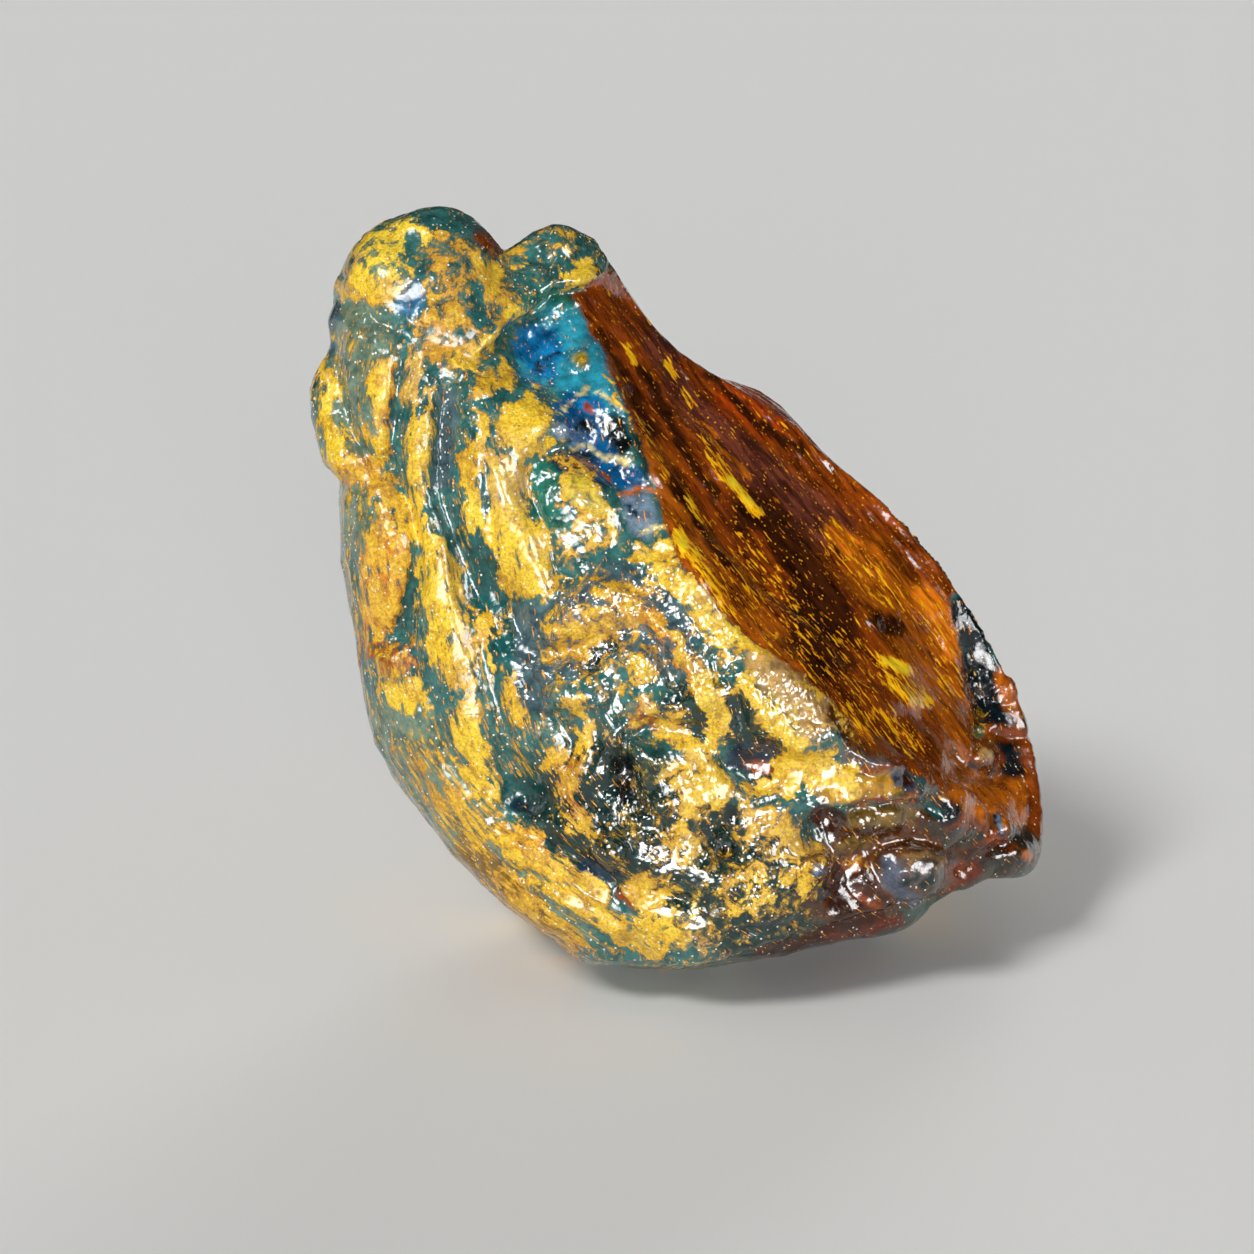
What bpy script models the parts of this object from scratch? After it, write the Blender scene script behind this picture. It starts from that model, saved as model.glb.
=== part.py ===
"""Raw blue amber: one free-standing lump, half weathered rind and half fresh break.

Run it with blender --background --python part.py, or from Blender's text editor.
The lump is sculpted in millimetres and turned into metres at the end. +Z is up, +X is to the
right of the rind face, and the piece stands on a small natural flat at z = 0.

The order of work is that of a stone carver. A ball is stretched to the girth of the lump. The
break is knapped off its right side, and its back is knapped into flatter faces. Lumps and knobs
are raised, folds and creases pressed in, and ledges stepped. Then all of it is weathered, thinned
to fewer triangles, and cut off level underneath.
"""

import math

import bmesh
import bpy
import numpy as np
from mathutils import Vector, noise

# ---- Driving dimensions, in millimetres and degrees ----
MM = 0.001
LEAN = math.radians(15.0)  # the girth leans back from upright by this much
CENTRE = np.array([-1.0, 0.5, 23.6])  # middle of the lump, about which it is spread out
FRONT_REACH = 12.0  # from the girth's plane to the top of the front dome
BACK_REACH = 17.0
FRONT_FULLNESS = 0.62  # below 1 the dome is fuller than a ball, above 1 more pointed
BACK_FULLNESS = 0.50
INNER_BLUR = 40  # degrees over which the girth's outline is evened out towards the middle
RIM_DETAIL = 8  # the higher, the closer to the rim its small notches stay
RIM_LIMIT = 0.3  # power of the spread that keeps what lies inside a notch from passing it
BREAK_HOLLOW = 1.35  # 1 is a straight fall from the break's edge to its far rim, more is scooped
EDGE_REACH = 7.0  # how far into the rind the edge pulls the surface to its own height
EDGE_SNAP = 0.25  # points this near to the edge are slid onto it
CREST_ROUNDING = 0.7  # half width of the rounding along the break's edge
CREST_ROUNDS = 4
RIM_ROUNDING = 0.2  # the same along the girth, as a share of the dome
RIM_ROUNDS = 12
GIRTH_MARGIN = 0.16  # knobs and folds fade out over this share of the dome, next to the girth
WEATHERING = 0.3  # height of the fine unevenness all over
WEATHERING_SIZE = 3.2
WEATHERING_OCTAVES = 3
FACE_SOFTNESS = 1.2  # how gently a flat face at the back runs into what is round it

# ---- How finely it is worked ----
BALL_SUBDIVISIONS = 7
OUTLINE_STEPS = 12  # points between two given ones, along the girth and the break's edge
RIM_STEPS = 4  # the same along the girth, where only the break's far rim is read from it
FOLD_STEPS = 5
ROUND_STEPS = 360
MOST_TRIANGLES = 9000
CUTTER_SIDE = 80.0

AMBER_COLOUR = (0.42, 0.29, 0.06, 1.0)
AMBER_ROUGHNESS = 0.3

# The plane that the girth lies in: ACROSS and UP span it, and FRONT looks out of the rind face.
ACROSS = np.array([1.0, 0.0, 0.0])
UP = np.array([0.0, math.sin(LEAN), math.cos(LEAN)])
FRONT = np.array([0.0, -math.cos(LEAN), math.sin(LEAN)])

# The girth, clockwise from the top of the left knob: where the lump is widest seen square-on.
GIRTH = [
    (-16.5, 6.1, 48.5),
    (-14.1, 7.0, 48.0),
    (-12.6, 7.6, 46.6),
    (-11.7, 8.2, 44.7),  # notch between the two knobs
    (-10.2, 8.4, 45.7),
    (-8.2, 8.8, 46.9),
    (-6.1, 8.7, 46.5),
    (-4.5, 8.2, 44.7),
    (-2.3, 8.4, 41.7),
    (0.4, 8.7, 38.8),
    (4.1, 10.0, 36.1),
    (8.6, 11.0, 32.9),  # far rim of the break
    (12.8, 10.4, 29.5),
    (16.7, 9.6, 26.3),
    (19.7, 8.8, 22.5),
    (22.2, 7.8, 18.3),
    (24.3, 6.8, 14.1),
    (25.0, 5.2, 10.4),
    (25.3, 3.3, 7.0),  # right toe
    (24.3, 1.5, 4.6),
    (20.2, -0.7, 4.6),
    (17.0, -2.9, 3.9),
    (14.5, -5.3, 2.7),
    (8.1, -7.4, 2.3),
    (1.6, -8.5, 1.6),  # front of the foot
    (-5.0, -8.5, 1.7),
    (-8.6, -7.0, 3.4),
    (-12.2, -5.4, 5.6),
    (-15.2, -3.6, 8.4),
    (-17.9, -2.7, 11.9),
    (-20.2, -1.7, 15.7),
    (-20.8, -0.5, 20.1),
    (-21.8, 1.0, 25.5),  # left flank
    (-22.3, 2.3, 30.6),
    (-23.6, 3.2, 33.8),
    (-24.0, 4.1, 37.1),
    (-23.3, 5.0, 40.7),
    (-22.3, 5.9, 43.8),
    (-20.1, 5.7, 46.9),
]

# The sharp edge where the rind stops and the break begins. It runs under the cap of the right
# knob, turns there, and comes down to the right toe. Both ends lie outside the girth.
BREAK_EDGE = [
    (-0.6, 11.1, 44.0),
    (-3.7, 7.1, 44.4),
    (-6.1, 3.3, 43.9),
    (-5.6, 1.1, 42.3),
    (-4.5, -1.5, 40.1),
    (-3.1, -4.4, 37.1),
    (-1.9, -6.7, 34.0),
    (-0.6, -8.9, 30.6),
    (1.4, -10.7, 27.5),
    (4.2, -11.8, 24.4),
    (7.6, -12.4, 21.1),
    (11.5, -12.0, 17.4),
    (15.2, -9.9, 14.1),
    (18.4, -7.0, 11.3),
    (21.8, -3.1, 8.3),
    (26.1, 1.7, 5.0),
]

# Lumps all round: place, radius, and height out of the surface.
LUMPS = [
    ("left knob", (-17.0, -2.0, 44.0), 6.0, 0.8),
    ("heel", (-2.0, 10.0, 0.0), 10.5, 3.8),
    ("rear shoulder", (5.5, 16.5, 32.0), 4.0, 1.9),
    ("rear knob", (-12.0, 14.0, 40.0), 5.0, 1.5),
    ("rear flank", (-16.0, 12.0, 18.0), 6.0, 1.6),
    ("rear toe", (18.0, 12.0, 9.0), 5.0, 1.8),
    ("rear boss", (3.0, 18.0, 14.0), 4.0, 1.4),
    ("rear scar", (-5.0, 18.0, 27.0), 4.5, -1.6),
    ("right scar", (16.0, 13.0, 24.0), 4.0, -1.3),
]

# Knobs and pits on the front: place as (across, up) on the girth's plane, radius, and height out
# of the surface, below 0 for a pit.
KNOBS = [
    ("blister", (-5.4, 15.5), 1.0, 0.6),
    ("high hollow", (-6.6, 16.3), 2.8, -1.3),
    ("low hollow", (-3.9, 10.1), 2.4, -1.3),
    ("hollow's lump", (-3.9, 12.7), 1.3, 0.6),
    ("hollow's bead", (-6.4, 10.4), 1.1, 0.8),
    ("pad", (-8.3, 10.7), 2.4, 0.9),
    ("low pad", (-4.5, 6.9), 2.2, 1.0),
    ("knob's pit", (-16.0, 19.0), 1.5, -0.9),
    ("cap", (-5.5, 22.0), 1.8, 0.7),
    ("lens", (-17.8, 3.1), 2.6, 1.0),
    ("crown, left", (-4.5, 0.6), 1.6, 0.8),
    ("crown, right", (1.7, 0.5), 2.4, 1.0),
    ("crown, middle", (-3.9, -1.6), 1.8, 0.7),
    ("belly knob", (-1.4, -4.1), 2.0, 0.9),
    ("belly, right", (1.7, -3.8), 2.0, 0.6),
    ("right shoulder", (8.0, -5.4), 2.2, 0.8),
    ("bead one", (-7.3, -4.6), 0.8, 0.7),
    ("bead two", (-5.7, -4.3), 0.9, 0.8),
    ("bead three", (-4.4, -5.5), 1.0, 0.8),
    ("bead four", (-6.4, -5.9), 0.9, 0.6),
    ("glassy knob", (-1.6, -9.6), 1.5, 1.0),
    ("low glassy knob", (0.5, -12.6), 1.8, 0.7),
    ("foot bead", (-3.0, -15.9), 1.1, 1.1),
    ("foot swell, left", (-6.8, -19.6), 1.8, 0.6),
    ("foot swell, middle", (2.4, -18.5), 3.0, 0.8),
    ("foot swell, right", (6.5, -19.0), 2.0, 0.6),
    ("teal hollow", (-10.2, -0.1), 2.2, -1.0),
    ("low hollow, left", (-9.3, -12.4), 2.5, -1.3),
    ("dark hole", (-2.6, -11.1), 1.1, -1.6),
    ("foot pit", (4.0, -15.5), 1.1, -1.3),
    ("heart", (6.5, -10.4), 2.0, -1.0),
    ("pocket", (10.6, -14.6), 1.7, -1.7),
    ("pocket, right", (15.0, -13.9), 1.5, -0.8),
    ("pocket's lump, left", (12.4, -14.3), 1.0, 0.8),
    ("pocket's lump, right", (14.2, -13.8), 1.1, 0.9),
    ("pocket's bead", (9.8, -17.0), 1.1, 1.2),
    ("under the pocket", (11.8, -18.6), 1.9, -1.3),
    ("lobe", (15.9, -17.3), 2.2, 1.9),
    ("brow's lump", (18.7, -13.9), 1.4, 0.7),
    ("toe", (23.6, -16.6), 1.8, 0.8),
    ("break hollow", (19.3, -4.0), 3.2, -1.1),
    ("break hollow, high", (1.5, 13.5), 3.0, -0.8),
    ("break chip", (15.8, -5.3), 1.5, 0.6),
    ("rim hollow", (22.3, -6.4), 1.6, -1.0),
    ("low rim hollow", (23.7, -10.0), 1.5, -0.7),
]

# Folds on the front: path as (across, up) on the girth's plane, half width and rise. A ridge
# rises, a crease has a negative rise.
FOLDS = [
    (
        "left strip's crease",
        [
            (-21.1, 16.8), (-21.4, 15.3), (-20.9, 13.1),
            (-20.2, 10.8), (-18.4, 8.2),
        ],
        0.8,
        -0.7,
    ),
    ("left strip", [(-22.6, 14.5), (-22.3, 12.0), (-21.4, 9.8), (-20.0, 8.2)], 1.0, 0.62),
    ("waist crease", [(-22.3, 8.1), (-20.3, 7.4), (-19.1, 7.9), (-17.9, 8.7)], 0.8, -0.7),
    (
        "lens crease",
        [
            (-16.5, 15.0), (-16.6, 12.6), (-17.1, 9.5), (-16.7, 6.3),
            (-15.7, 4.2), (-15.4, 2.0), (-16.6, -1.2), (-17.7, -2.6),
        ],
        0.8,
        -0.94,
    ),
    (
        "second crease",
        [
            (-13.5, 13.1), (-13.9, 10.0), (-14.4, 7.5), (-13.9, 5.0),
            (-12.6, 0.6), (-11.4, -2.6), (-10.3, -7.6), (-9.0, -12.7),
        ],
        0.8,
        -0.7,
    ),
    ("valley", [(-12.6, 3.4), (-11.6, 1.5), (-10.2, -0.4), (-8.9, -2.6), (-8.3, -5.1)], 1.2, -0.7),
    ("strip", [(-11.6, 12.6), (-11.2, 9.4), (-9.9, 6.2), (-8.3, 3.7), (-7.4, 1.5)], 1.3, 0.7),
    ("strip's crease", [(-7.2, 9.3), (-8.3, 6.5), (-7.7, 4.0), (-6.0, 1.5)], 0.8, -0.7),
    (
        "flank ridge",
        [
            (-15.3, 11.3), (-15.3, 7.5), (-14.5, 3.7),
            (-13.7, -0.1), (-13.1, -3.9),
        ],
        0.8,
        0.47,
    ),
    ("flank groove", [(-16.6, -2.6), (-15.0, -5.8), (-14.1, -9.0), (-12.2, -12.1)], 0.9, -0.55),
    (
        "knob's furrow",
        [
            (-20.6, 19.3), (-18.3, 17.9), (-16.6, 17.1),
            (-14.1, 16.1), (-12.2, 15.8),
        ],
        0.8,
        -0.55,
    ),
    ("knob's high furrow", [(-17.1, 23.4), (-14.8, 21.6), (-14.1, 19.1)], 0.8, -0.47),
    ("cap's furrow", [(-10.5, 21.0), (-9.2, 21.8), (-7.2, 22.0), (-5.3, 22.2)], 0.7, -0.39),
    ("hollow's crease", [(-6.7, 9.5), (-5.4, 9.6), (-3.9, 8.8), (-2.3, 7.4), (-0.7, 6.9)], 0.7, -0.55),
    ("crown ridge", [(-7.3, -2.6), (-5.8, -1.0), (-3.9, -0.2), (-1.4, -1.5), (0.2, -2.6)], 0.8, 0.39),
    (
        "crown crease",
        [
            (-7.7, -3.5), (-5.5, -3.2), (-3.9, -2.6),
            (-1.9, -2.2), (-0.1, -3.5), (1.1, -5.7),
        ],
        0.7,
        -0.78,
    ),
    ("middle ridge", [(-6.5, -5.9), (-4.5, -6.3), (-3.1, -7.7), (-3.1, -9.5), (-4.0, -11.1)], 0.8, 0.55),
    (
        "middle ridge, right",
        [
            (-1.4, -6.3), (1.7, -6.7), (4.9, -5.7),
            (6.4, -7.6), (8.7, -9.0),
        ],
        0.9,
        0.62,
    ),
    ("middle crease", [(-2.3, -9.2), (-0.4, -8.5), (2.4, -8.5), (4.9, -11.1), (6.5, -12.0)], 0.8, -0.7),
    ("hole's crease", [(-2.5, -10.1), (-2.1, -11.7), (-1.4, -13.2)], 0.7, -0.62),
    ("low fold", [(-10.3, -14.1), (-7.7, -15.1), (-4.8, -17.0), (-1.7, -18.2), (2.4, -19.3)], 0.8, -0.7),
    ("lowest fold", [(-11.7, -16.0), (-9.0, -18.2), (-5.5, -20.7), (-1.4, -22.2)], 0.8, -0.55),
    ("foot ridge", [(-9.7, -18.7), (-6.8, -20.1), (-3.9, -21.9)], 0.8, 0.39),
    ("shoulder ridge", [(5.2, -4.8), (6.4, -6.7), (8.3, -8.5), (10.6, -9.0)], 0.9, 0.62),
    ("brow ridge", [(6.8, -12.8), (9.5, -12.7), (11.9, -11.7), (13.8, -10.8)], 0.8, 0.47),
    ("pocket's floor", [(9.9, -15.9), (12.0, -17.1), (13.8, -15.5), (17.3, -15.2)], 0.7, -0.62),
    ("lobe's crease, left", [(13.2, -16.2), (13.9, -18.0), (15.2, -19.7)], 0.7, -0.7),
    ("lobe's crease, right", [(19.7, -16.4), (18.9, -18.2), (17.5, -19.4)], 0.7, -0.7),
    ("toe ridge", [(22.9, -14.1), (22.5, -15.3), (21.3, -16.4)], 0.6, 0.39),
    ("toe crease", [(22.2, -16.4), (25.1, -15.2)], 0.7, -0.55),
    ("rim trough", [(21.4, -3.4), (22.0, -6.1), (21.9, -8.5)], 0.8, -0.62),
    ("low rim trough", [(19.8, -10.1), (21.2, -11.4), (23.4, -11.8)], 0.8, -0.62),
    (
        "break rib, long",
        [
            (-4.0, 19.8), (-1.3, 15.8), (1.9, 11.2),
            (5.3, 6.6), (9.2, 2.7), (13.9, -1.3),
        ],
        0.9,
        0.39,
    ),
    ("break rib, low", [(-1.9, 11.4), (-0.1, 8.2), (2.5, 4.5), (5.7, 0.6), (10.2, -3.3)], 0.8, 0.39),
    ("break rib, high", [(-0.7, 18.1), (2.7, 13.4), (6.7, 8.8), (11.5, 4.1)], 0.9, 0.39),
    ("break groove", [(-3.2, 16.9), (-0.7, 12.3), (1.9, 7.7), (4.5, 3.9), (7.7, 0.0)], 0.8, -0.47),
    ("chip's edge", [(12.1, -5.8), (14.6, -6.5), (18.0, -6.6)], 0.7, 0.39),
]

# Folds on the back, given in the same way.
BACK_FOLDS = [
    (
        "rear ridge",
        [
            (-17.0, 11.0), (-11.0, 8.5), (-6.0, 3.5), (-1.0, 3.0),
            (5.0, -2.5), (9.0, -3.5), (15.0, -10.0),
        ],
        2.0,
        1.0,
    ),
    ("rear crease", [(-16.0, 4.5), (-11.0, 2.5), (-8.5, -1.5), (-3.0, -4.0), (0.0, -8.5)], 1.2, -0.9),
    ("rear furrow", [(-8.0, 17.0), (-5.5, 12.5), (-1.5, 11.0), (1.0, 7.5)], 1.2, -0.8),
    ("rear furrow, right", [(2.0, 13.0), (6.5, 9.5), (8.5, 5.0)], 1.3, -0.7),
    ("rear rib", [(-15.0, -3.0), (-11.5, -8.5), (-6.0, -11.0), (-2.0, -16.0)], 1.6, 0.8),
    ("rear rib, right", [(4.0, 2.0), (9.0, -0.5), (12.0, -5.0), (18.0, -7.5)], 1.4, 0.7),
    ("rear groove, low", [(3.0, -9.0), (8.0, -11.0), (11.0, -15.0)], 1.2, -0.8),
    ("rear rib, high", [(-14.5, 20.0), (-13.0, 14.0), (-14.5, 9.5)], 1.4, 0.6),
]

# Ledges on the front: path, step and run. The surface on the left of the path, for somebody
# walking along it, stands a step higher and comes back down over the run.
LEDGES = [
    (
        "cap over the hollow",
        [
            (-14.0, 14.4), (-12.2, 15.5), (-10.8, 16.5), (-9.7, 18.1),
            (-8.5, 19.1), (-7.1, 20.3), (-5.6, 20.2), (-4.0, 20.7),
        ],
        0.9,
        2.5,
    ),
    ("brow over the pocket", [(9.5, -13.4), (12.5, -12.9), (15.5, -12.7), (17.2, -13.3)], 0.8, 1.5),
    (
        "rind over the slab",
        [
            (-1.4, -23.1), (2.4, -22.6), (5.3, -21.5), (8.8, -20.9),
            (12.3, -20.2), (15.3, -19.9), (18.6, -19.0),
        ],
        0.9,
        2.5,
    ),
]

# Flat knapped faces at the back: a point of the face, and the way it looks.
BACK_FACES = [
    ("rear, middle", (0.0, 18.2, 22.0), (0.1, 1.0, 0.05)),
    ("rear, upper left", (-11.0, 14.5, 37.0), (-0.35, 0.85, 0.4)),
    ("rear, lower left", (-14.0, 14.0, 13.0), (-0.65, 0.7, -0.3)),
    ("rear, right", (13.5, 15.0, 21.0), (0.6, 0.75, 0.25)),
    ("rear, low", (4.0, 15.5, 5.0), (0.15, 0.8, -0.6)),
    ("left flank", (-22.3, 5.0, 30.0), (-1.0, 0.25, 0.0)),
]


def in_plane(points):
    """(across, up, out) of the points, measured from CENTRE along the girth's own directions."""
    from_centre = points - CENTRE
    return from_centre @ ACROSS, from_centre @ UP, from_centre @ FRONT


def from_plane(across, up, out):
    return CENTRE + np.outer(across, ACROSS) + np.outer(up, UP) + np.outer(out, FRONT)


def smooth_curve(points, closed, steps):
    """Points along a Catmull-Rom curve through the given ones."""
    points = np.array(points, float)
    if closed:
        points = np.vstack([points[-1:], points, points[:2]])
    else:
        points = np.vstack([2 * points[0] - points[1], points, 2 * points[-1] - points[-2]])
    t = np.linspace(0.0, 1.0, steps, endpoint=False)[:, None]
    spans = []
    for a, b, c, d in zip(points[:-3], points[1:-2], points[2:-1], points[3:]):
        bend = 2 * a - 5 * b + 4 * c - d
        twist = 3 * b - a - 3 * c + d
        spans.append((2 * b + (c - a) * t + bend * t**2 + twist * t**3) / 2)
    if not closed:
        spans.append(points[-2:-1])
    return np.vstack(spans)


def nearest_on_path(points, path):
    """For each flat point: its distance to the path, how far along the path its foot lies, as a
    vertex number with a fraction, and on which side it is (+1 left, -1 right)."""
    best = np.full(len(points), np.inf)
    along = np.zeros(len(points))
    side = np.ones(len(points))
    for i, (a, b) in enumerate(zip(path[:-1], path[1:])):
        step = b - a
        share = np.clip((points - a) @ step / (step @ step), 0.0, 1.0)
        offset = points - (a + share[:, None] * step)
        distance = np.linalg.norm(offset, axis=1)
        nearer = distance < best
        best[nearer] = distance[nearer]
        along[nearer] = i + share[nearer]
        turn = step[0] * offset[:, 1] - step[1] * offset[:, 0]
        side[nearer] = np.where(turn[nearer] > 0, 1.0, -1.0)
    return best, along, side


def at_vertex(path, along):
    """The path's values at vertex numbers with a fraction."""
    numbers = np.arange(len(path))
    return np.column_stack([np.interp(along, numbers, column) for column in path.T])


def softly_least(a, b, softness):
    """The smaller of a and b, with a rounded changeover."""
    return 0.5 * (a + b - np.sqrt((a - b) ** 2 + softness**2))


def outward_normals(points, triangles):
    corners = points[triangles]
    flat = np.cross(corners[:, 1] - corners[:, 0], corners[:, 2] - corners[:, 0])
    normals = np.zeros_like(points)
    for corner in range(3):
        np.add.at(normals, triangles[:, corner], flat)
    return normals / np.linalg.norm(normals, axis=1, keepdims=True)


def unit_ball():
    """Points and triangles of a finely divided ball."""
    mesh = bmesh.new()
    bmesh.ops.create_icosphere(mesh, subdivisions=BALL_SUBDIVISIONS, radius=1.0)
    points = np.array([v.co for v in mesh.verts])
    triangles = np.array([[v.index for v in f.verts] for f in mesh.faces])
    mesh.free()
    return points, triangles


def around(angle, values):
    """values, given all round at even angles, read at the given ones and evened out."""
    even = np.linspace(-math.pi, math.pi, ROUND_STEPS, endpoint=False)
    window = np.hanning(INNER_BLUR)
    three_turns = np.convolve(np.tile(values(even), 3), window / window.sum(), "same")
    middle_turn = three_turns[ROUND_STEPS : 2 * ROUND_STEPS]
    return np.interp(angle, even, middle_turn, period=2 * math.pi)


def stretch_to_girth(ball):
    """The plain lump: the ball's equator goes to the girth and its two halves to the two domes.
    Also gives how far in front each point is: 0 on the girth, 1 at the top of the front dome."""
    a, b, c = ball @ ACROSS, ball @ UP, ball @ FRONT
    angle, spread = np.arctan2(b, a), np.hypot(a, b)
    across, up, out = in_plane(smooth_curve(GIRTH, True, OUTLINE_STEPS))
    turn = np.arctan2(up, across)
    order = np.argsort(turn)

    def rim_radius(at):
        return np.interp(at, turn[order], np.hypot(across, up)[order], period=2 * math.pi)

    def rim_out(at):
        return np.interp(at, turn[order], out[order], period=2 * math.pi)

    near_rim = spread**RIM_DETAIL
    radius = around(angle, rim_radius) * (1 - near_rim) + rim_radius(angle) * near_rim
    radius = np.minimum(radius * spread, rim_radius(angle) * spread**RIM_LIMIT)
    sheet = around(angle, rim_out) * (1 - near_rim) + rim_out(angle) * near_rim
    dome = np.where(
        c > 0, FRONT_REACH * np.abs(c) ** FRONT_FULLNESS, -BACK_REACH * np.abs(c) ** BACK_FULLNESS
    )
    out = sheet * spread**2 + dome
    return from_plane(radius * np.cos(angle), radius * np.sin(angle), out), c


def knap_break(points, front):
    """Takes the break off the right side: a scooped face from its edge to the girth behind it.
    Also gives how near each point is to the edge, and how surely it is on the break's side."""
    across, up, out = in_plane(points)
    edge = np.column_stack(in_plane(smooth_curve(BREAK_EDGE, False, OUTLINE_STEPS)))
    girth = np.column_stack(in_plane(smooth_curve(GIRTH + GIRTH[:1], False, RIM_STEPS)))
    flat = np.column_stack([across, up])
    distance, along, side = nearest_on_path(flat, edge[:, :2])
    foot = at_vertex(edge, along)
    on_edge = front & (distance < EDGE_SNAP)
    flat[on_edge] = foot[on_edge, :2]
    distance[on_edge] = 0.0
    to_rim, rim_along, _ = nearest_on_path(flat, girth[:, :2])
    rim_out = at_vertex(girth, rim_along)[:, 2]
    share = distance / (distance + np.maximum(to_rim, np.finfo(float).eps))
    face = rim_out + (foot[:, 2] - rim_out) * (1 - share) ** BREAK_HOLLOW
    lifted = out + (foot[:, 2] - out) * np.exp(-((distance / EDGE_REACH) ** 2))
    cut = np.where(side > 0, face, lifted)
    cut = np.where(front, cut, out)
    crest = np.exp(-((distance / CREST_ROUNDING) ** 2)) * front
    broken = 1 / (1 + np.exp(-side * distance / CREST_ROUNDING))
    return from_plane(flat[:, 0], flat[:, 1], cut), crest, broken


def relax(points, triangles, weight, rounds):
    """Evens out the points where the weight is near 1 and leaves them where it is 0."""
    for _ in range(rounds):
        total = np.zeros_like(points)
        count = np.zeros(len(points))
        for a, b in ((0, 1), (1, 2), (2, 0)):
            for here, there in ((a, b), (b, a)):
                np.add.at(total, triangles[:, here], points[triangles[:, there]])
                np.add.at(count, triangles[:, here], 1)
        points = points + weight[:, None] * (total / count[:, None] - points)
    return points


def raise_lumps(points, triangles):
    for _, place, radius, height in LUMPS:
        away = np.linalg.norm(points - np.array(place), axis=1)
        swell = height * np.exp(-((away / radius) ** 2))
        points = points + outward_normals(points, triangles) * swell[:, None]
    return points


def raise_knobs(points, triangles, front):
    flat = np.column_stack(in_plane(points)[:2])
    for _, place, radius, height in KNOBS:
        away = np.linalg.norm(flat - np.array(place), axis=1)
        swell = front * height * np.exp(-((away / radius) ** 2))
        points = points + outward_normals(points, triangles) * swell[:, None]
    return points


def press_folds(points, triangles, folds, where):
    flat = np.column_stack(in_plane(points)[:2])
    for _, path, half_width, rise in folds:
        distance, _, _ = nearest_on_path(flat, smooth_curve(path, False, FOLD_STEPS))
        swell = where * rise * np.exp(-((distance / half_width) ** 2))
        points = points + outward_normals(points, triangles) * swell[:, None]
    return points


def step_ledges(points, triangles, front):
    flat = np.column_stack(in_plane(points)[:2])
    for _, path, step, run in LEDGES:
        path = smooth_curve(path, False, FOLD_STEPS)
        distance, along, side = nearest_on_path(flat, path)
        ends = np.sin(math.pi * along / (len(path) - 1)) ** 0.5
        swell = front * (side > 0) * step * ends * np.exp(-distance / run)
        points = points + outward_normals(points, triangles) * swell[:, None]
    return points


def knap_back_faces(points):
    for _, place, looks in BACK_FACES:
        normal = np.array(looks, float)
        normal /= np.linalg.norm(normal)
        height = (points - np.array(place)) @ normal
        kept = softly_least(height, 0.0, FACE_SOFTNESS)
        points = points + np.outer(kept - height, normal)
    return points


def weather(points, triangles):
    """Fine unevenness all over: broad swells with smaller ones on them."""
    roughness, scale_step = 1.0, 2.0
    places = [Vector(point) / WEATHERING_SIZE for point in points.tolist()]
    swell = [noise.fractal(place, roughness, scale_step, WEATHERING_OCTAVES) for place in places]
    return points + outward_normals(points, triangles) * WEATHERING * np.array(swell)[:, None]


def centred(points):
    """Moves the lump sideways so that the middle of its box is over the origin."""
    middle = (points.min(axis=0) + points.max(axis=0)) / 2
    return points - [middle[0], middle[1], 0.0]


def mesh_of(name, points, triangles):
    mesh = bpy.data.meshes.new(name)
    mesh.from_pydata((points * MM).tolist(), [], triangles.tolist())
    mesh.update()
    return mesh


def amber_material():
    material = bpy.data.materials.new("blue amber with rind")
    material.use_nodes = True
    shader = material.node_tree.nodes["Principled BSDF"]
    shader.inputs["Base Color"].default_value = AMBER_COLOUR
    shader.inputs["Roughness"].default_value = AMBER_ROUGHNESS
    shader.inputs["Metallic"].default_value = 0.0
    return material


def collection_named(name):
    collection = bpy.data.collections.new(name)
    bpy.context.scene.collection.children.link(collection)
    return collection


def floor_cutter(collection):
    """A block whose top is at z = 0. What it takes off leaves the flat that the lump stands on."""
    side = CUTTER_SIDE * MM
    mesh = bpy.data.meshes.new("floor_cutter")
    block = bmesh.new()
    bmesh.ops.create_cube(block, size=side)
    block.to_mesh(mesh)
    block.free()
    cutter = bpy.data.objects.new("floor_cutter", mesh)
    cutter.location.z = -side / 2
    cutter.hide_render = True
    cutter.display_type = "WIRE"
    collection.objects.link(cutter)
    return cutter


def main():
    for old in list(bpy.data.objects):
        bpy.data.objects.remove(old)
    ball, triangles = unit_ball()
    points, forward = stretch_to_girth(ball)
    points, crest, broken = knap_break(points, forward > 0)
    rim = np.exp(-((forward / RIM_ROUNDING) ** 2)) * broken
    points = relax(points, triangles, np.maximum(crest, rim), CREST_ROUNDS)
    front = np.clip(forward / GIRTH_MARGIN, 0.0, 1.0)
    back = np.clip(-forward / GIRTH_MARGIN, 0.0, 1.0)
    points = knap_back_faces(points)
    points = raise_lumps(points, triangles)
    points = raise_knobs(points, triangles, front)
    points = press_folds(points, triangles, FOLDS, front)
    points = press_folds(points, triangles, BACK_FOLDS, back)
    points = step_ledges(points, triangles, front)
    points = weather(points, triangles)
    points = relax(points, triangles, rim, RIM_ROUNDS)
    points = centred(points)

    amber = bpy.data.objects.new("raw_amber", mesh_of("raw_amber", points, triangles))
    amber.data.materials.append(amber_material())
    amber.data.shade_smooth()
    collection_named("raw amber piece").objects.link(amber)

    fewer = amber.modifiers.new("fewer faces", "DECIMATE")
    fewer.ratio = MOST_TRIANGLES / len(triangles)
    level = amber.modifiers.new("level underside", "BOOLEAN")
    level.operation = "DIFFERENCE"
    level.object = floor_cutter(collection_named("cutters"))


main()
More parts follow.
